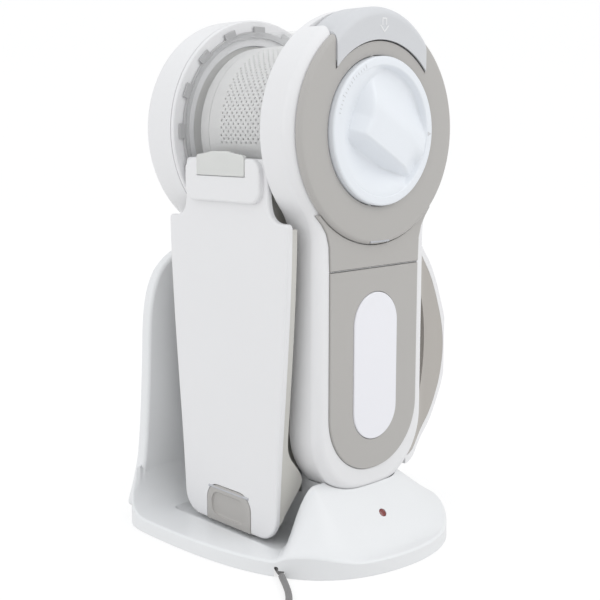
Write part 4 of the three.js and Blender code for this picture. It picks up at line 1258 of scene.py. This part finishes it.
# ---- dust bowl, screen and grille
def screen_cylinder(pitch, margin):
    """A perforated cylinder: a grid of cells, holed where it is perforated, rolled up and thickened."""
    left, right = -26.0, 34.0
    columns = round((right - left) / pitch)
    rows = round(math.tau * SCREEN_R / pitch)
    bm = bmesh.new()
    bmesh.ops.create_grid(bm, x_segments=columns, y_segments=rows, size=0.5)
    bmesh.ops.scale(bm, vec=(right - left, math.tau * SCREEN_R, 1), verts=bm.verts)
    bmesh.ops.translate(bm, vec=((left + right) / 2, 0, 0), verts=bm.verts)
    holed = []
    for face in bm.faces:
        middle = face.calc_center_median()
        up = -math.degrees(middle.y / SCREEN_R)
        above = up % 180
        column = round((middle.x - left) / pitch - 0.5)
        row = round((middle.y + math.pi * SCREEN_R) / pitch - 0.5)
        inside = -15 < middle.x < 31 and (above < 72 or above > 172)
        if inside and (column + row) % 2 == 0:
            holed.append(face)
    bmesh.ops.inset_individual(bm, faces=holed, thickness=pitch * margin * 0.55, use_even_offset=True)
    bmesh.ops.delete(bm, geom=holed, context="FACES")
    for vertex in bm.verts:
        a = vertex.co.y / SCREEN_R + math.pi / 2
        vertex.co = Vector((vertex.co.x, -SCREEN_R * math.sin(a), SCREEN_R * math.cos(a)))
    bmesh.ops.remove_doubles(bm, verts=bm.verts, dist=1e-3)
    piece = new_piece(bm, "prefilter_screen_mesh")
    thick = piece.modifiers.new("wall", "SOLIDIFY")
    thick.thickness = 1.4
    thick.offset = -1
    soft = piece.modifiers.new("round holes", "SUBSURF")
    soft.levels = 1
    soft.render_levels = 1
    bake(piece)
    return piece


def end_ring():
    profile = [(-POD_IN + GAP, 57.2), (-BOWL_HALF - GAP, 57.2), (-BOWL_HALF - GAP, 60.6), (-POD_IN + GAP, 61)]
    ring = lathe("bowl_end_ring_tabs", profile, "X", 144)
    tabs = []
    for i in range(16):
        tab = block("tab", (-POD_IN + 0.35, -4.5, 60), (-POD_IN + 1.55, 4.5, 64), 0.3, 2)
        tabs.append(move(tab, place(turn=math.tau * i / 16, axis="X")))
    return join(ring, *tabs)


class VACUUM_OT_dust_bowl(bpy.types.Operator):
    """The clear dust bowl, its tabbed end ring and the perforated screen"""

    bl_idname = "vacuum.dust_bowl"
    bl_label = "Dust bowl"

    def execute(self, context):
        detail = context.scene.vacuum_detail
        profile = [(-BOWL_HALF, 58), (-BOWL_HALF, 59.6), (-BOWL_HALF + 0.4, BOWL_R), (-31.5, BOWL_R),
                   (-31, 59.5), (BOWL_HALF - 0.4, 59.5), (BOWL_HALF, 59.3), (BOWL_HALF, 58)]
        bowl = lathe("dust_bowl_tube", profile, "X", 144)
        carve(bowl, block("neck_opening", (-26, -59, -46), (26, -30, -22)))
        settle(bowl, "nozzle", "clear", ["dust_bowl"])
        ring_grey = grained_plastic("ring grey", (0.46, 0.46, 0.465), 0.45)
        settle(end_ring(), "nozzle", "latch_grey", ["bowl_end_ring"], ring_grey)
        profile = [(-34.5, 44), (-34.5, 49.6), (-33.4, 50.6), (-26.2, 50.6), (-26.2, 44)]
        flange = lathe("screen_flange", profile, "X", 120)
        settle(flange, "nozzle", "screen_white")
        screen = screen_cylinder(detail.screen_pitch, detail.hole_share)
        settle(screen, "nozzle", "screen_white", ["prefilter_screen"])
        return {"FINISHED"}


class VACUUM_OT_grille(bpy.types.Operator):
    """The exhaust grille on the pod away from the wheel"""

    bl_idname = "vacuum.grille"
    bl_label = "Exhaust grille"

    def execute(self, context):
        low, face, r = POD_OUT + GAP, GRILLE_FACE, POD_R - 9.3
        profile = [(low - 2.3, 44), (low - 2.3, 49.6), (low, 49.6), (low, r)]
        profile += round_corner(face - 1, r - 1, 1, (0, 0.5, 1.0, 1.57))
        profile += [(face, 47), (face - 1.2, 45), (face - 1.6, 0), (low - 0.3, 0), (low - 0.3, 44)]
        cap = lathe("exhaust_grille_cap", profile, "X", 160)
        slots = []
        for i in range(-5, 6):
            z = i * 7.0
            half = math.sqrt(40 ** 2 - z ** 2)
            outline = rounded_box((-half, z - 1.8), (half, z + 1.8), 1.7)
            slots.append(slab("vent", outline, "X", 50, 72))
        carve(cap, *slots)
        mirror_x(cap)
        settle(cap, "vacuum_body", "shell_white", ["exhaust_grille"])
        return {"FINISHED"}


# ---- inside and underside
class VACUUM_OT_inner_works(bpy.types.Operator):
    """Finishes for the frame's own pieces that still show: inside, underside, feet and screws"""

    bl_idname = "vacuum.inner_works"
    bl_label = "Inner works"

    def execute(self, context):
        slots = {row["node"]: row["material_slot"] for row in frame["record"]["subparts"]}
        for name, node in frame["nodes"].items():
            if node.hide_render:
                continue
            material = finish_for(slots[name])
            for place in node.material_slots:
                place.material = material
        return {"FINISHED"}


class VACUUM_PT_sidebar(bpy.types.Panel):
    bl_label = "Vacuum"
    bl_idname = "VACUUM_PT_sidebar"
    bl_space_type = "VIEW_3D"
    bl_region_type = "UI"
    bl_category = "Vacuum"

    def draw(self, context):
        scene = context.scene
        for group in (scene.vacuum_colours, scene.vacuum_detail, scene.vacuum_stage):
            for name in group.bl_rna.properties.keys():
                if name not in ("rna_type", "name"):
                    self.layout.prop(group, name)
        for operator in OPERATORS:
            self.layout.operator(operator.bl_idname)


OPERATORS = (
    VACUUM_OT_stage, VACUUM_OT_cord, VACUUM_OT_stand, VACUUM_OT_arms, VACUUM_OT_side_door,
    VACUUM_OT_cleaning_wheel, VACUUM_OT_latch, VACUUM_OT_handle, VACUUM_OT_nozzle, VACUUM_OT_dust_bowl,
    VACUUM_OT_grille, VACUUM_OT_inner_works,
)
CLASSES = (VacuumColours, VacuumDetail, VacuumStage, *OPERATORS, VACUUM_PT_sidebar)


def register():
    for cls in CLASSES:
        bpy.utils.register_class(cls)
    bpy.types.Scene.vacuum_colours = PointerProperty(type=VacuumColours)
    bpy.types.Scene.vacuum_detail = PointerProperty(type=VacuumDetail)
    bpy.types.Scene.vacuum_stage = PointerProperty(type=VacuumStage)


def unregister():
    del bpy.types.Scene.vacuum_stage
    del bpy.types.Scene.vacuum_detail
    del bpy.types.Scene.vacuum_colours
    for cls in reversed(CLASSES):
        bpy.utils.unregister_class(cls)


def main():
    register()
    for operator in OPERATORS:
        group, name = operator.bl_idname.split(".")
        getattr(getattr(bpy.ops, group), name)()


if __name__ == "__main__":
    main()
